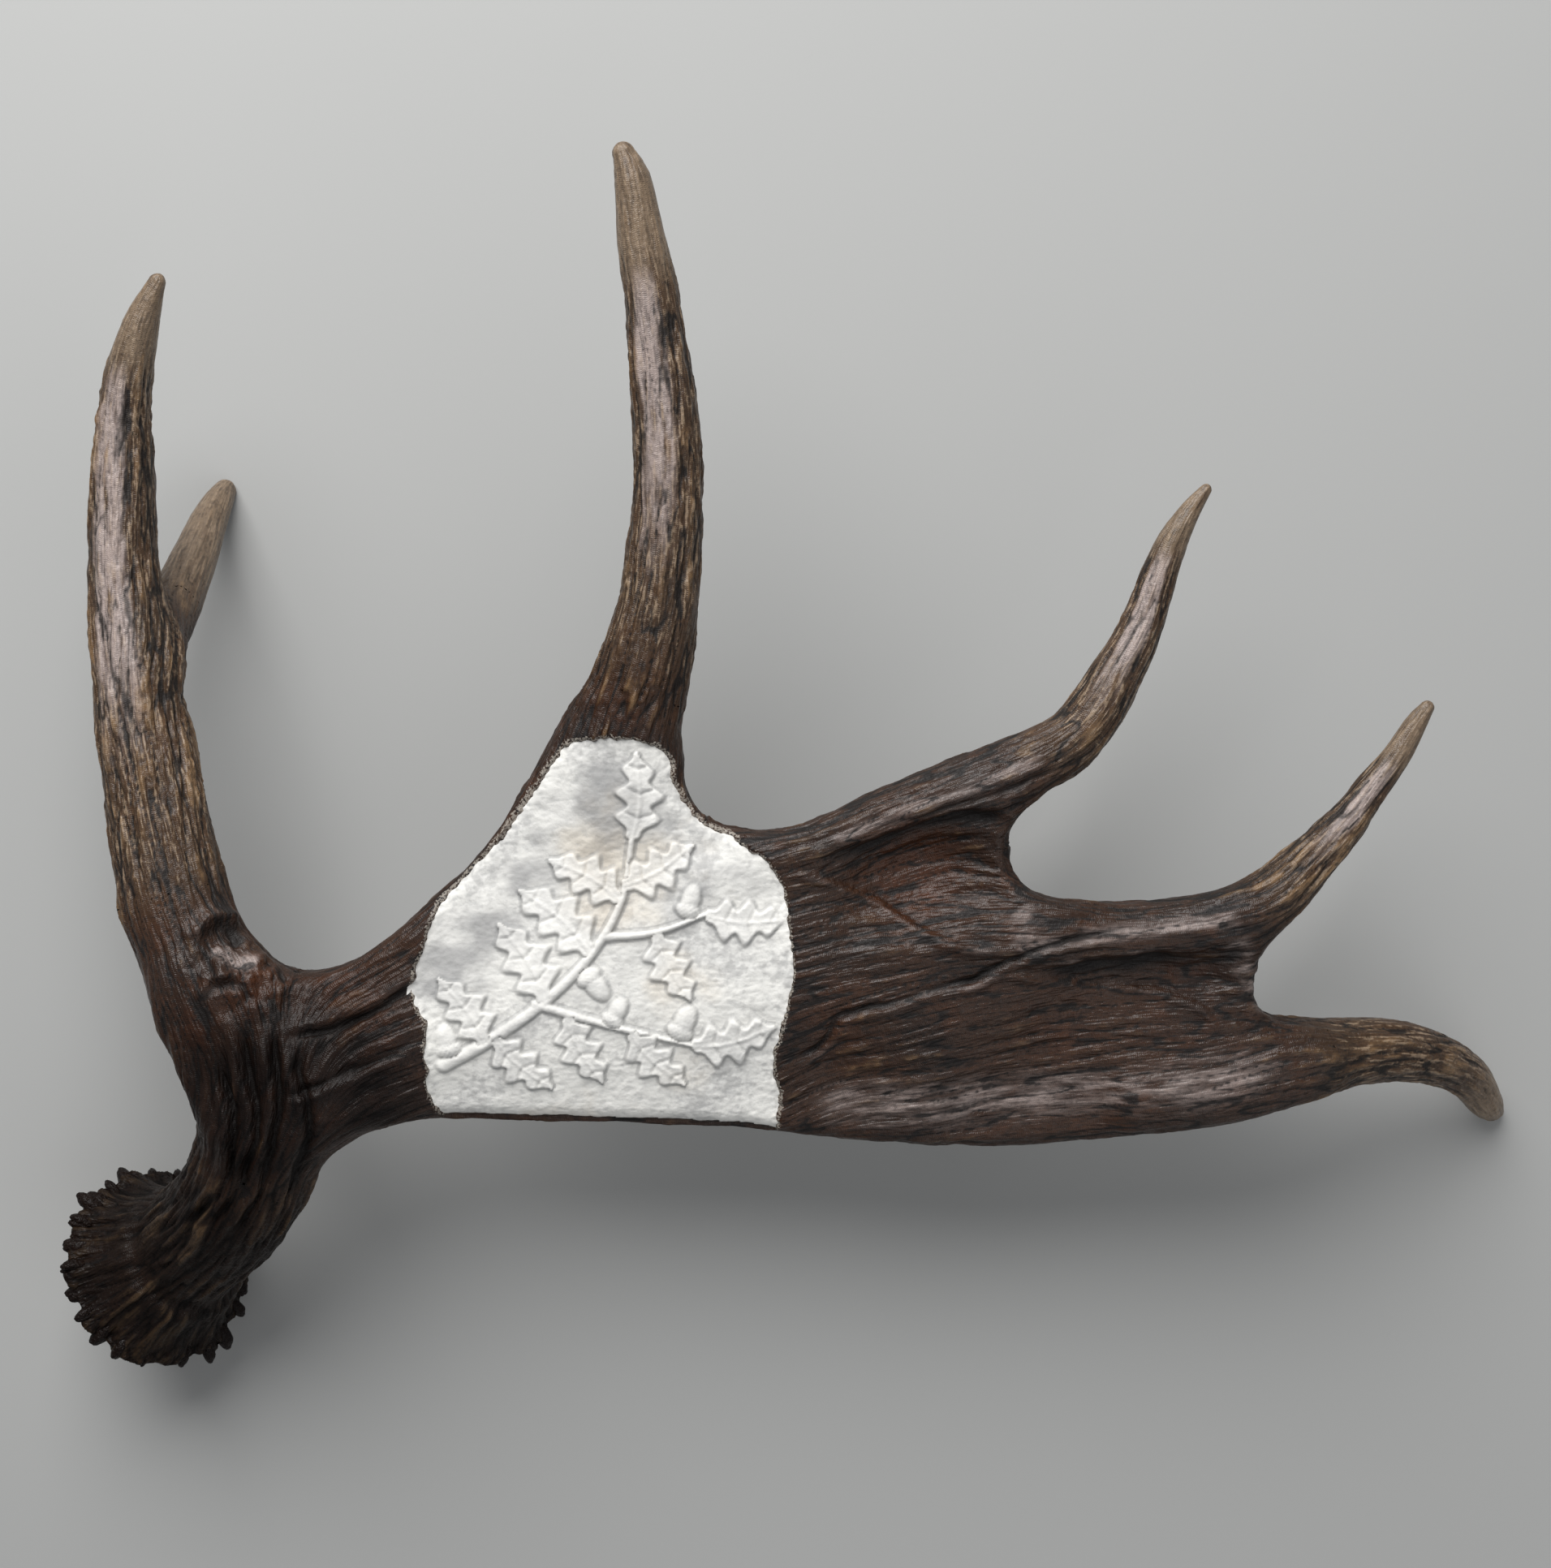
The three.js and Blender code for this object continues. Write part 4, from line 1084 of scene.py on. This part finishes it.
def panel_mesh(relief_height):
    """The panel: carved ground and oak spray, closed below by a plain underside."""
    points, normals, faces = panel_grid()
    flat = points * (1, 1, 0)
    edge = panel_distance(flat)
    inside = fade(0, 7, -edge)
    relief = carving(flat) * inside
    around = np.zeros(len(flat))
    for x, y in ((1.5, 0), (-1.5, 0), (0, 1.5), (0, -1.5)):
        around = np.maximum(around, carving(flat + (x, y, 0)) * inside)
    drawn = flat * (1, 2.6, 1) @ np.array([[0.93, -0.36, 0], [0.36, 0.93, 0], [0, 0, 1]])
    tooling = 0.16 * Noise(43, 2.4)(drawn) + 0.1 * Noise(44, 1.3)(flat)
    ground = 0.3 * Noise(41, 9.0)(flat) + 0.18 * Noise(42, 3.2)(flat) - 0.7 * hump(edge + 9, 7)
    lift = relief_height * relief + ground + tooling * (1 - 0.5 * np.minimum(relief, 1)) - PANEL_DEPTH
    lift += 0.4 * Noise(45, 1.7)(flat) * fade(-4, 0, edge)
    under = points - normals * PANEL_THICK
    points = points + normals * lift[:, None]
    marks = {
        # painted highlight: the raised carving is painted paler than its ground
        "relief": np.clip(relief, 0, 1),
        # painted shade on the ground right beside the raised carving
        "hollow_shade": np.clip(1.2 * (around - relief), 0, 1),
        "worked": np.clip(0.5 + 2 * tooling, 0, 1),
        # grey stains, and broad painted shade over the upper part of the panel
        "grey_stain_and_shade": np.clip(patches(GREY_STAIN_AND_SHADE_PATCHES, flat) * (1 + 0.5 * Noise(46, 7.0)(flat)), 0, 1),
    }
    return closed_sheet("carved_panel", points, under, faces, marks)


def closed_sheet(name, top, under, faces, marks):
    """A mesh in metres between an upper and a lower sheet of the same faces, joined along its rim."""
    count = len(top)
    edges = np.stack([faces, np.roll(faces, -1, axis=1)], -1).reshape(-1, 2)
    ordered = np.sort(edges, axis=1)
    edge_key = ordered[:, 0] * count + ordered[:, 1]
    _, first, uses = np.unique(edge_key, return_index=True, return_counts=True)
    rim = edges[first[uses == 1]]
    wall = np.stack([rim[:, 1], rim[:, 0], rim[:, 0] + count, rim[:, 1] + count], -1)
    mesh = bpy.data.meshes.new(name)
    every = np.vstack([faces, faces[:, ::-1] + count, wall])
    mesh.from_pydata((np.vstack([top, under]) * MM).tolist(), [], every.tolist())
    add_marks(mesh, {mark: np.tile(values, 2) for mark, values in marks.items()})
    return mesh


# ---- The burr's pearls ----

PEARL_ROWS = 2             # rows of pearls around the rim
PEARL_STEP = 1.5           # from one row to the next, towards the seat
PEARL_INSET = 4.2          # the first row's middle line lies this far inside the rim
PEARL_STRAY = 1.8          # how far a pearl may stray from its even place, along each axis
PEARL_LUMP = 2.2           # size of the lumps on a pearl
PEARL_SHAPE = (1.9, 0.75, 0.85)  # drawn out away from the beam, along its own x
PEARL_SMALLEST, PEARL_LARGEST = 0.3, 1.35  # as shares of the usual size
PEARL_SEED = 5
PEARL_CENTRE = 20.0        # the pearls point away from this station of the beam


def rim_mesh():
    """The line of the burr's rim, as a mesh of edges."""
    beam = LIMB["beam"]
    angles = np.arange(0, 360, 3.0)
    lobe = burr_lobes(angles)
    places, edges = [], []
    for row in range(PEARL_ROWS):
        radius = (BURR_RADIUS + lobe - PEARL_INSET + 0.8 * row)[:, None]
        turn = np.radians(angles)[:, None]
        places.append(
            beam.point[0] + radius * (np.cos(turn) * beam.across[0] + np.sin(turn) * beam.up[0])
            + beam.along[0] * (0.8 - PEARL_STEP * row)
        )
        start = row * len(angles)
        edges += [(start + n, start + (n + 1) % len(angles)) for n in range(len(angles))]
    mesh = bpy.data.meshes.new("burr_rim")
    mesh.from_pydata((np.vstack(places) * MM).tolist(), edges, [])
    return mesh


def pearl_tree():
    """Bony pearls strung along the rim: each lumpy, of its own size, and drawn out away from the beam."""
    tree = bpy.data.node_groups.new("burr_pearls", "GeometryNodeTree")
    face = tree.interface
    face.new_socket("Rim", in_out="INPUT", socket_type="NodeSocketGeometry")
    face.new_socket("Count", in_out="INPUT", socket_type="NodeSocketInt")
    face.new_socket("Size", in_out="INPUT", socket_type="NodeSocketFloat")
    face.new_socket("Centre", in_out="INPUT", socket_type="NodeSocketVector")
    face.new_socket("Seed", in_out="INPUT", socket_type="NodeSocketInt")
    face.new_socket("Material", in_out="INPUT", socket_type="NodeSocketMaterial")
    face.new_socket("Pearls", in_out="OUTPUT", socket_type="NodeSocketGeometry")
    given = node(tree, "NodeGroupInput").outputs
    line = node(tree, "GeometryNodeMeshToCurve", {"Mesh": given["Rim"]})
    even = node(tree, "GeometryNodeResampleCurve", {"Curve": line, "Count": given["Count"]}, mode="COUNT")
    stray = node(
        tree, "FunctionNodeRandomValue",
        {0: [-PEARL_STRAY * MM] * 3, 1: [PEARL_STRAY * MM] * 3, "Seed": given["Seed"]},
        data_type="FLOAT_VECTOR",
    )
    placed = node(tree, "GeometryNodeSetPosition", {"Geometry": even, "Offset": stray})

    pearl = node(tree, "GeometryNodeMeshIcoSphere", {"Radius": given["Size"], "Subdivisions": 3})
    lumps = node(tree, "ShaderNodeTexNoise", {"Scale": 1 / (PEARL_LUMP * MM), "Detail": 1.0})
    depth = node(tree, "ShaderNodeMath", {0: lumps.outputs["Fac"], 1: given["Size"]}, operation="MULTIPLY")
    facing = node(tree, "GeometryNodeInputNormal")
    bulge = node(tree, "ShaderNodeVectorMath", {0: facing, "Scale": depth}, operation="SCALE")
    lumpy = node(tree, "GeometryNodeSetPosition", {"Geometry": pearl, "Offset": bulge})
    smooth = node(tree, "GeometryNodeSetShadeSmooth", {"Geometry": lumpy})
    # The pearls take the burr's dark mark: its dark stain and painted shade.
    stained = node(
        tree, "GeometryNodeStoreNamedAttribute", {"Geometry": smooth, "Name": "dark_stain_and_shade", "Value": 0.9},
    )

    here = node(tree, "GeometryNodeInputPosition")
    outward = node(tree, "ShaderNodeVectorMath", {0: here, 1: given["Centre"]}, operation="SUBTRACT")
    aim = node(tree, "FunctionNodeAlignRotationToVector", {"Vector": outward}, axis="X")
    share = node(
        tree, "FunctionNodeRandomValue", {2: PEARL_SMALLEST, 3: PEARL_LARGEST, "Seed": given["Seed"]},
        data_type="FLOAT",
    )
    size = node(tree, "ShaderNodeVectorMath", {0: PEARL_SHAPE, "Scale": share}, operation="SCALE")
    strung = node(
        tree, "GeometryNodeInstanceOnPoints",
        {"Points": placed, "Instance": stained, "Rotation": aim, "Scale": size},
    )
    real = node(tree, "GeometryNodeRealizeInstances", {"Geometry": strung})
    dressed = node(tree, "GeometryNodeSetMaterial", {"Geometry": real, "Material": given["Material"]})
    node(tree, "NodeGroupOutput", {"Pearls": dressed})
    return tree


def grown(name, mesh, tree, values):
    """The mesh that a tree of geometry nodes makes of another mesh, as an object."""
    piece = put(name, mesh)
    modifier = piece.modifiers.new("grow", "NODES")
    modifier.node_group = tree
    for item in tree.interface.items_tree:
        if item.in_out == "INPUT" and item.name in values:
            modifier[item.identifier] = values[item.name]
    seen = piece.evaluated_get(bpy.context.evaluated_depsgraph_get())
    result = bpy.data.meshes.new_from_object(seen)
    piece.modifiers.clear()
    piece.data = result
    return piece


def make_pearls(settings, material):
    """The burr's pearls as an object, none of them below the ground."""
    values = {
        "Count": settings.pearl_count, "Size": settings.pearl_size * MM, "Seed": PEARL_SEED,
        "Centre": (LIMB["beam"].at(PEARL_CENTRE)[0] * MM).tolist(), "Material": material,
    }
    piece = grown("burr_pearls", rim_mesh(), pearl_tree(), values)
    for vertex in piece.data.vertices:
        vertex.co.z = max(vertex.co.z, 0)
    return piece


# ---- Materials ----


def linear(colour):
    """A colour of sRGB hex digits as linear red, green, blue and alpha."""
    parts = [int(colour[i:i + 2], 16) / 255 for i in (1, 3, 5)]
    return [p / 12.92 if p <= 0.04045 else ((p + 0.055) / 1.055) ** 2.4 for p in parts] + [1.0]


def node(tree, kind, inputs=(), **settings):
    """Adds a node with its settings. An input is given a value, another node or one of its outputs."""
    made = tree.nodes.new(kind)
    for name, value in settings.items():
        setattr(made, name, value)
    for key, value in dict(inputs).items():
        if isinstance(value, bpy.types.Node):
            value = next(output for output in value.outputs if output.enabled)
        if isinstance(value, bpy.types.NodeSocket):
            tree.links.new(made.inputs[key], value)
        else:
            made.inputs[key].default_value = value
    return made


def new_material(name):
    """An empty material: its tree, its shader and the place on the object that its patterns read."""
    material = bpy.data.materials.new(name)
    material.use_nodes = True
    tree = material.node_tree
    tree.nodes.clear()
    shader = node(tree, "ShaderNodeBsdfPrincipled")
    node(tree, "ShaderNodeOutputMaterial", {"Surface": shader})
    place = node(tree, "ShaderNodeTexCoord").outputs["Object"]
    return material, tree, shader, place


def painted(tree, colour, layers):
    """Colours laid over each other: where each shows, from and to which value, how strongly, its colour."""
    for share, low, high, strength, paint in layers:
        cover = node(
            tree, "ShaderNodeMapRange",
            {"Value": share, "From Min": low, "From Max": high, "To Min": 0.0, "To Max": strength},
            interpolation_type="SMOOTHSTEP",
        )
        colour = node(tree, "ShaderNodeMix", {0: cover, 6: colour, 7: paint}, data_type="RGBA")
    return colour


BONE_IOR = 1.54
# The bone's fibres are a few tenths of a millimetre wide: these are drawn wide enough to be seen.
FIBRE_WIDTH = 1.2
FIBRE_STEP = 0.8           # fibres are noise drawn out along the growth, in steps this long
FIBRE_REACH = 4            # and this many steps each way


def antler_bark(settings):
    """Antler bark: dense bone stained dark by sap and blood while it grew, rubbed paler on its ridges.

    The fissures between the ridges keep the stain and look near black, the ridge tops are worn to tan, and
    the tips are rubbed smooth. Painted shade darkens the valleys of the veins and furrows and, with the
    bark's own dark stain, the beam, the burr and the sides that face down. A lilac grey painted sheen
    lies on the tines' upper crests and on some bands of the palm.
    """
    material, tree, shader, place = new_material("stained_antler_bark")
    mark = {
        name: node(tree, "ShaderNodeAttribute", attribute_name=name).outputs["Fac"]
        for name in ("groove_stain_and_shade", "crest", "painted_sheen", "red", "dark_stain_and_shade", "tip", "seat", "free", "scraped")
    }
    growth = node(tree, "ShaderNodeAttribute", attribute_name="growth").outputs["Vector"]
    fibre = 0.0
    for step in range(-FIBRE_REACH, FIBRE_REACH + 1):
        shift = [step * FIBRE_STEP * MM] * 3
        there = node(tree, "ShaderNodeVectorMath", {0: growth, 1: shift, 2: place}, operation="MULTIPLY_ADD")
        blob = node(
            tree, "ShaderNodeTexNoise", {"Vector": there, "Scale": 1 / (FIBRE_WIDTH * MM), "Detail": 1.0},
        )
        fibre = node(tree, "ShaderNodeMath", {0: fibre, 1: blob.outputs["Fac"]}, operation="ADD")
    count = 2 * FIBRE_REACH + 1
    fibre = node(
        tree, "ShaderNodeMapRange", {"Value": fibre, "From Min": 0.42 * count, "From Max": 0.58 * count},
    )
    lines = node(tree, "ShaderNodeMath", {0: fibre, 1: mark["free"]}, operation="MULTIPLY")
    # Blobs in the stain, in mm: broad clouds, small patches, specks and the bone's own grain.
    cloud, patch, speck, grain = (
        node(
            tree, "ShaderNodeTexNoise", {"Vector": place, "Scale": 1 / (size * MM), "Detail": detail},
        ).outputs["Fac"]
        for size, detail in ((38, 3.0), (11, 4.0), (2.4, 4.0), (0.9, 3.0))
    )
    frayed = node(tree, "ShaderNodeMath", {0: grain, 1: mark["scraped"]}, operation="MULTIPLY")
    colour = painted(tree, (*settings.bark_colour, 1), [
        (cloud, 0.35, 0.65, 0.8, linear("#3a2416")),
        (patch, 0.5, 0.72, 0.5, linear("#482c1b")),
        (mark["red"], 0.1, 0.9, 0.75, linear("#4c270f")),
        (mark["free"], 0.2, 1.0, 0.42, linear("#57432f")),
        (mark["crest"], 0.2, 0.9, 0.6, (*settings.ridge_colour, 1)),
        (lines, 0.5, 0.9, 0.5, linear("#98826a")),
        # painted sheen: a lilac grey highlight on the crests
        (mark["painted_sheen"], 0.1, 0.9, 0.84, (*settings.painted_sheen_colour, 1)),
        (mark["tip"], 0.05, 0.9, 0.85, (*settings.tip_colour, 1)),
        (fibre, 0.45, 0.05, 0.42, linear("#1b110b")),
        (lines, 0.6, 0.95, 0.22, linear("#a8937c")),
        (speck, 0.5, 0.7, 0.3, linear("#1a100b")),
        # painted shade together with the bark's dark stain
        (mark["dark_stain_and_shade"], 0.0, 1.0, 0.9, linear("#0d0807")),
        # the fissures' dark stain and painted shade in the fold valleys
        (mark["groove_stain_and_shade"], 0.1, 0.9, 0.9, linear("#060302")),
        (mark["seat"], 0.2, 0.8, 0.8, linear("#8d7a66")),
        (frayed, 0.4, 0.52, 0.7, linear("#a39b90")),
    ])
    rough = node(
        tree, "ShaderNodeMapRange",
        {"Value": grain, "From Min": 0.3, "From Max": 0.7, "To Min": 0.27, "To Max": 0.47},
    )
    deep = node(tree, "ShaderNodeMath", {0: mark["groove_stain_and_shade"], 1: 0.3, 2: rough}, operation="MULTIPLY_ADD")
    shine = node(
        tree, "ShaderNodeMapRange", {"Value": mark["dark_stain_and_shade"], "From Max": 1.0, "To Min": 0.34, "To Max": 0.08},
    )
    # The bone's grain is under a millimetre, and its pores a little over two.
    drawn = node(tree, "ShaderNodeBump", {"Height": fibre, "Strength": 0.7, "Distance": 0.45 * MM})
    fine = node(
        tree, "ShaderNodeBump", {"Height": grain, "Normal": drawn, "Strength": 0.5, "Distance": 0.25 * MM},
    )
    pores = node(
        tree, "ShaderNodeBump", {"Height": speck, "Normal": fine, "Strength": 0.5, "Distance": 0.7 * MM},
    )
    tree.links.new(shader.inputs["Base Color"], colour.outputs[2])
    tree.links.new(shader.inputs["Roughness"], deep.outputs[0])
    tree.links.new(shader.inputs["Specular IOR Level"], shine.outputs[0])
    tree.links.new(shader.inputs["Normal"], pores.outputs[0])
    shader.inputs["IOR"].default_value = BONE_IOR
    return material


def carved_bone(settings):
    """Bare antler bone, scraped and carved: matt off-white, grey and fibrous in the sunk ground, with a
    painted highlight on the raised carving and painted shade on the ground right beside it.
    """
    material, tree, shader, place = new_material("carved_bare_bone")
    mark = {
        name: node(tree, "ShaderNodeAttribute", attribute_name=name).outputs["Fac"]
        for name in ("relief", "hollow_shade", "worked", "grey_stain_and_shade")
    }
    # Clouds of grey stain, warm tints, fibres and pores, in mm.
    cloud, warm, fibre, pore = (
        node(
            tree, "ShaderNodeTexNoise", {"Vector": place, "Scale": 1 / (size * MM), "Detail": 5.0},
        ).outputs["Fac"]
        for size in (30, 44, 3.2, 1.2)
    )
    streaks = node(tree, "ShaderNodeMath", {0: cloud, 1: fibre}, operation="MULTIPLY")
    colour = painted(tree, (*settings.bone_colour, 1), [
        (cloud, 0.46, 0.68, 0.35, linear("#c6c5c3")),
        # grey stains, and painted shade over the upper part
        (mark["grey_stain_and_shade"], 0.05, 0.85, 0.85, linear("#969594")),
        (streaks, 0.24, 0.38, 0.4, linear("#939291")),
        (warm, 0.52, 0.7, 0.35, linear("#dccbb0")),
        (mark["worked"], 0.45, 0.05, 0.3, linear("#9c9d9d")),
        # painted highlight on the raised carving
        (mark["relief"], 0.2, 0.9, 0.55, linear("#e9e7e2")),
        # painted shade beside the raised carving
        (mark["hollow_shade"], 0.1, 0.9, 0.5, linear("#8f8f8e")),
    ])
    tree.links.new(shader.inputs["Base Color"], colour.outputs[2])
    shader.inputs["Roughness"].default_value = 0.72
    shader.inputs["IOR"].default_value = BONE_IOR
    shader.inputs["Specular IOR Level"].default_value = 0.35
    fibres = node(tree, "ShaderNodeBump", {"Height": fibre, "Strength": 0.5, "Distance": 0.6 * MM})
    bump = node(
        tree, "ShaderNodeBump", {"Height": pore, "Normal": fibres, "Strength": 0.5, "Distance": 0.35 * MM},
    )
    tree.links.new(shader.inputs["Normal"], bump.outputs[0])
    return material


MATERIALS = {"stained_antler_bark": antler_bark, "carved_bare_bone": carved_bone}


def material_once(name, settings):
    """The material of a name, made only once."""
    return bpy.data.materials.get(name) or MATERIALS[name](settings)


# ---- Stage ----

CAMERA_PLACE = (-13.0, 1.0, 1000.0)
VIEW_HEIGHT = 728.4        # how much of the ground the long side of the view covers
SENSOR = 36.0
FLOOR_SIZE = 12            # in metres
SKY_COLOUR = "#e4e8ee"
SKY_STRENGTH = 0.3
# Each light's place and size in metres, and its power.
LIGHTS = {
    "window": ((-0.4, 1.25, 1.25), 1.6, 49),
    "fill": ((1.0, -1.3, 1.6), 2.0, 9),
}


def make_stage(settings):
    """A pale floor, a large soft light beyond the tines, a weak one opposite, and a camera from above."""
    scene = bpy.context.scene
    bpy.ops.mesh.primitive_plane_add(size=FLOOR_SIZE)
    floor = bpy.context.object
    floor.name = "floor"
    material, _, shader, _ = new_material("matt_pale_floor")
    shader.inputs["Base Color"].default_value = (*settings.floor_colour, 1)
    shader.inputs["Roughness"].default_value = 0.9
    floor.data.materials.append(material)
    camera = bpy.data.objects.new("camera", bpy.data.cameras.new("camera"))
    camera.location = [v * MM for v in CAMERA_PLACE]
    camera.data.sensor_width = SENSOR
    camera.data.lens = SENSOR * CAMERA_PLACE[2] / VIEW_HEIGHT
    camera.data.clip_start, camera.data.clip_end = 0.01, 50
    scene.collection.objects.link(camera)
    scene.camera = camera
    for name, (location, size, power) in LIGHTS.items():
        lamp = bpy.data.lights.new(name, "AREA")
        lamp.shape = "DISK"
        lamp.size, lamp.energy = size, power * settings.light
        light = bpy.data.objects.new(name, lamp)
        light.location = location
        light.rotation_euler = (-Vector(location)).to_track_quat("-Z", "Y").to_euler()
        scene.collection.objects.link(light)
    world = scene.world or bpy.data.worlds.new("world")
    scene.world = world
    world.use_nodes = True
    background = world.node_tree.nodes.get("Background") or world.node_tree.nodes.new("ShaderNodeBackground")
    background.inputs["Color"].default_value = linear(SKY_COLOUR)
    background.inputs["Strength"].default_value = SKY_STRENGTH * settings.light
    scene.view_settings.view_transform = "Standard"


# ---- The add-on ----

# Each limb's node and material slot.
LIMB_NODES = {
    "beam": ("beam_and_burr", "antler_bark"),
    "brow": ("brow_tine", "antler_bark"),
    "spur": ("brow_spur", "worn_tip"),
    "upper": ("upper_tine", "antler_bark"),
    "middle": ("middle_tine", "antler_bark"),
    "side": ("side_tine", "antler_bark"),
    "end": ("end_tine", "antler_bark"),
}


class AntlerSettings(bpy.types.PropertyGroup):
    """What a user would change about the antler and its stage."""

    ridge_height: FloatProperty(
        name="Ridge Height", description="How deep the ridges of the bark are, as a share of the usual",
        default=1.0, min=0, max=2, subtype="FACTOR",
    )
    relief_height: FloatProperty(
        name="Relief Height", description="Height of the carving over its ground, in millimetres",
        default=RELIEF, min=0, max=3,
    )
    pearl_count: IntProperty(
        name="Pearls in a Row", description="How many pearls each row around the burr has",
        default=24, min=3, max=200,
    )
    pearl_size: FloatProperty(
        name="Pearl Size", description="Radius of the burr's pearls, in millimetres",
        default=2.3, min=0.2, max=6,
    )
    bark_colour: FloatVectorProperty(
        name="Bark", description="Colour of the stained bark", default=linear("#28180e")[:3],
        min=0, max=1, subtype="COLOR",
    )
    ridge_colour: FloatVectorProperty(
        name="Ridges", description="Colour of the bark's worn ridge tops", default=linear("#8a6d4d")[:3],
        min=0, max=1, subtype="COLOR",
    )
    # The colour of the painted sheen, a lilac grey highlight on the tines' upper crests.
    painted_sheen_colour: FloatVectorProperty(
        name="Bloom", description="Colour of the smooth bloom on the tines' upper crests",
        default=linear("#a4958f")[:3], min=0, max=1, subtype="COLOR",
    )
    tip_colour: FloatVectorProperty(
        name="Tips", description="Colour of the rubbed tips", default=linear("#7a6855")[:3],
        min=0, max=1, subtype="COLOR",
    )
    bone_colour: FloatVectorProperty(
        name="Bone", description="Colour of the bare carved bone", default=linear("#e6e4de")[:3],
        min=0, max=1, subtype="COLOR",
    )
    floor_colour: FloatVectorProperty(
        name="Floor", description="Colour of the floor", default=linear("#a4a4a2")[:3],
        min=0, max=1, subtype="COLOR",
    )
    light: FloatProperty(
        name="Light", description="Strength of all light, as a share of the usual",
        default=1.0, min=0, max=5, subtype="FACTOR",
    )


def finish_piece(piece, material, node_name):
    """Gives a piece its material, and tells the frame which body it rides on and what it stands for."""
    piece.data.materials.clear()
    piece.data.materials.append(material)
    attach(piece, "root")
    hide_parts(node_name)


class ANTLER_OT_limb(bpy.types.Operator):
    """Adds the beam with its burr, or one of the tines"""

    bl_idname = "antler.limb"
    bl_label = "Limb"
    bl_options = {"REGISTER", "UNDO"}

    limb: EnumProperty(
        name="Limb", description="Which limb to add",
        items=[(name, name.title(), f"The {name} of the antler") for name in LIMBS],
        default="beam",
    )

    def execute(self, context):
        settings = context.scene.antler
        node_name, slot = LIMB_NODES[self.limb]
        piece = part_piece(f"{node_name}_bark", self.limb, settings)
        finish_piece(piece, material_once("stained_antler_bark", settings), node_name)
        return {"FINISHED"}


class ANTLER_OT_pearls(bpy.types.Operator):
    """Adds the rows of bony pearls around the burr's rim"""

    bl_idname = "antler.pearls"
    bl_label = "Burr Pearls"
    bl_options = {"REGISTER", "UNDO"}

    def execute(self, context):
        settings = context.scene.antler
        material = material_once("stained_antler_bark", settings)
        piece = make_pearls(settings, material)
        finish_piece(piece, material, "beam_and_burr")
        return {"FINISHED"}


class ANTLER_OT_palm(bpy.types.Operator):
    """Adds the two halves of the palm's bark"""

    bl_idname = "antler.palm"
    bl_label = "Palm"
    bl_options = {"REGISTER", "UNDO"}

    def execute(self, context):
        settings = context.scene.antler
        for half in ("palm_base", "palm_fan"):
            piece = part_piece(f"{half}_bark", half, settings)
            finish_piece(piece, material_once("stained_antler_bark", settings), "palm")
        return {"FINISHED"}


class ANTLER_OT_carving(bpy.types.Operator):
    """Adds the carved panel in the palm"""

    bl_idname = "antler.carving"
    bl_label = "Carved Panel"
    bl_options = {"REGISTER", "UNDO"}

    def execute(self, context):
        settings = context.scene.antler
        piece = show("carved_panel", panel_mesh(settings.relief_height))
        finish_piece(piece, material_once("carved_bare_bone", settings), "palm")
        return {"FINISHED"}


class ANTLER_OT_stage(bpy.types.Operator):
    """Adds the floor, the lights and the camera"""

    bl_idname = "antler.stage"
    bl_label = "Stage"
    bl_options = {"REGISTER", "UNDO"}

    def execute(self, context):
        make_stage(context.scene.antler)
        return {"FINISHED"}


class ANTLER_PT_sidebar(bpy.types.Panel):
    """Lists the antler's sizes and colours and the operators that build it"""

    bl_idname = "ANTLER_PT_sidebar"
    bl_label = "Moose Antler"
    bl_space_type = "VIEW_3D"
    bl_region_type = "UI"
    bl_category = "Antler"

    def draw(self, context):
        column = self.layout.column()
        for name in AntlerSettings.__annotations__:
            column.prop(context.scene.antler, name)
        for operator in OPERATORS:
            column.operator(operator.bl_idname)


OPERATORS = (ANTLER_OT_limb, ANTLER_OT_pearls, ANTLER_OT_palm, ANTLER_OT_carving, ANTLER_OT_stage)
CLASSES = (AntlerSettings, *OPERATORS, ANTLER_PT_sidebar)


def register():
    """Adds the classes, and the settings to each scene."""
    for cls in CLASSES:
        bpy.utils.register_class(cls)
    bpy.types.Scene.antler = PointerProperty(type=AntlerSettings)


def unregister():
    """Takes away what register added."""
    del bpy.types.Scene.antler
    for cls in reversed(CLASSES):
        bpy.utils.unregister_class(cls)


def main():
    """Builds all pieces and the stage."""
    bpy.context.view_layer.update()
    register()
    for limb in LIMBS:
        bpy.ops.antler.limb(limb=limb)
    bpy.ops.antler.pearls()
    bpy.ops.antler.palm()
    bpy.ops.antler.carving()
    bpy.ops.antler.stage()


if __name__ == "__main__":
    main()
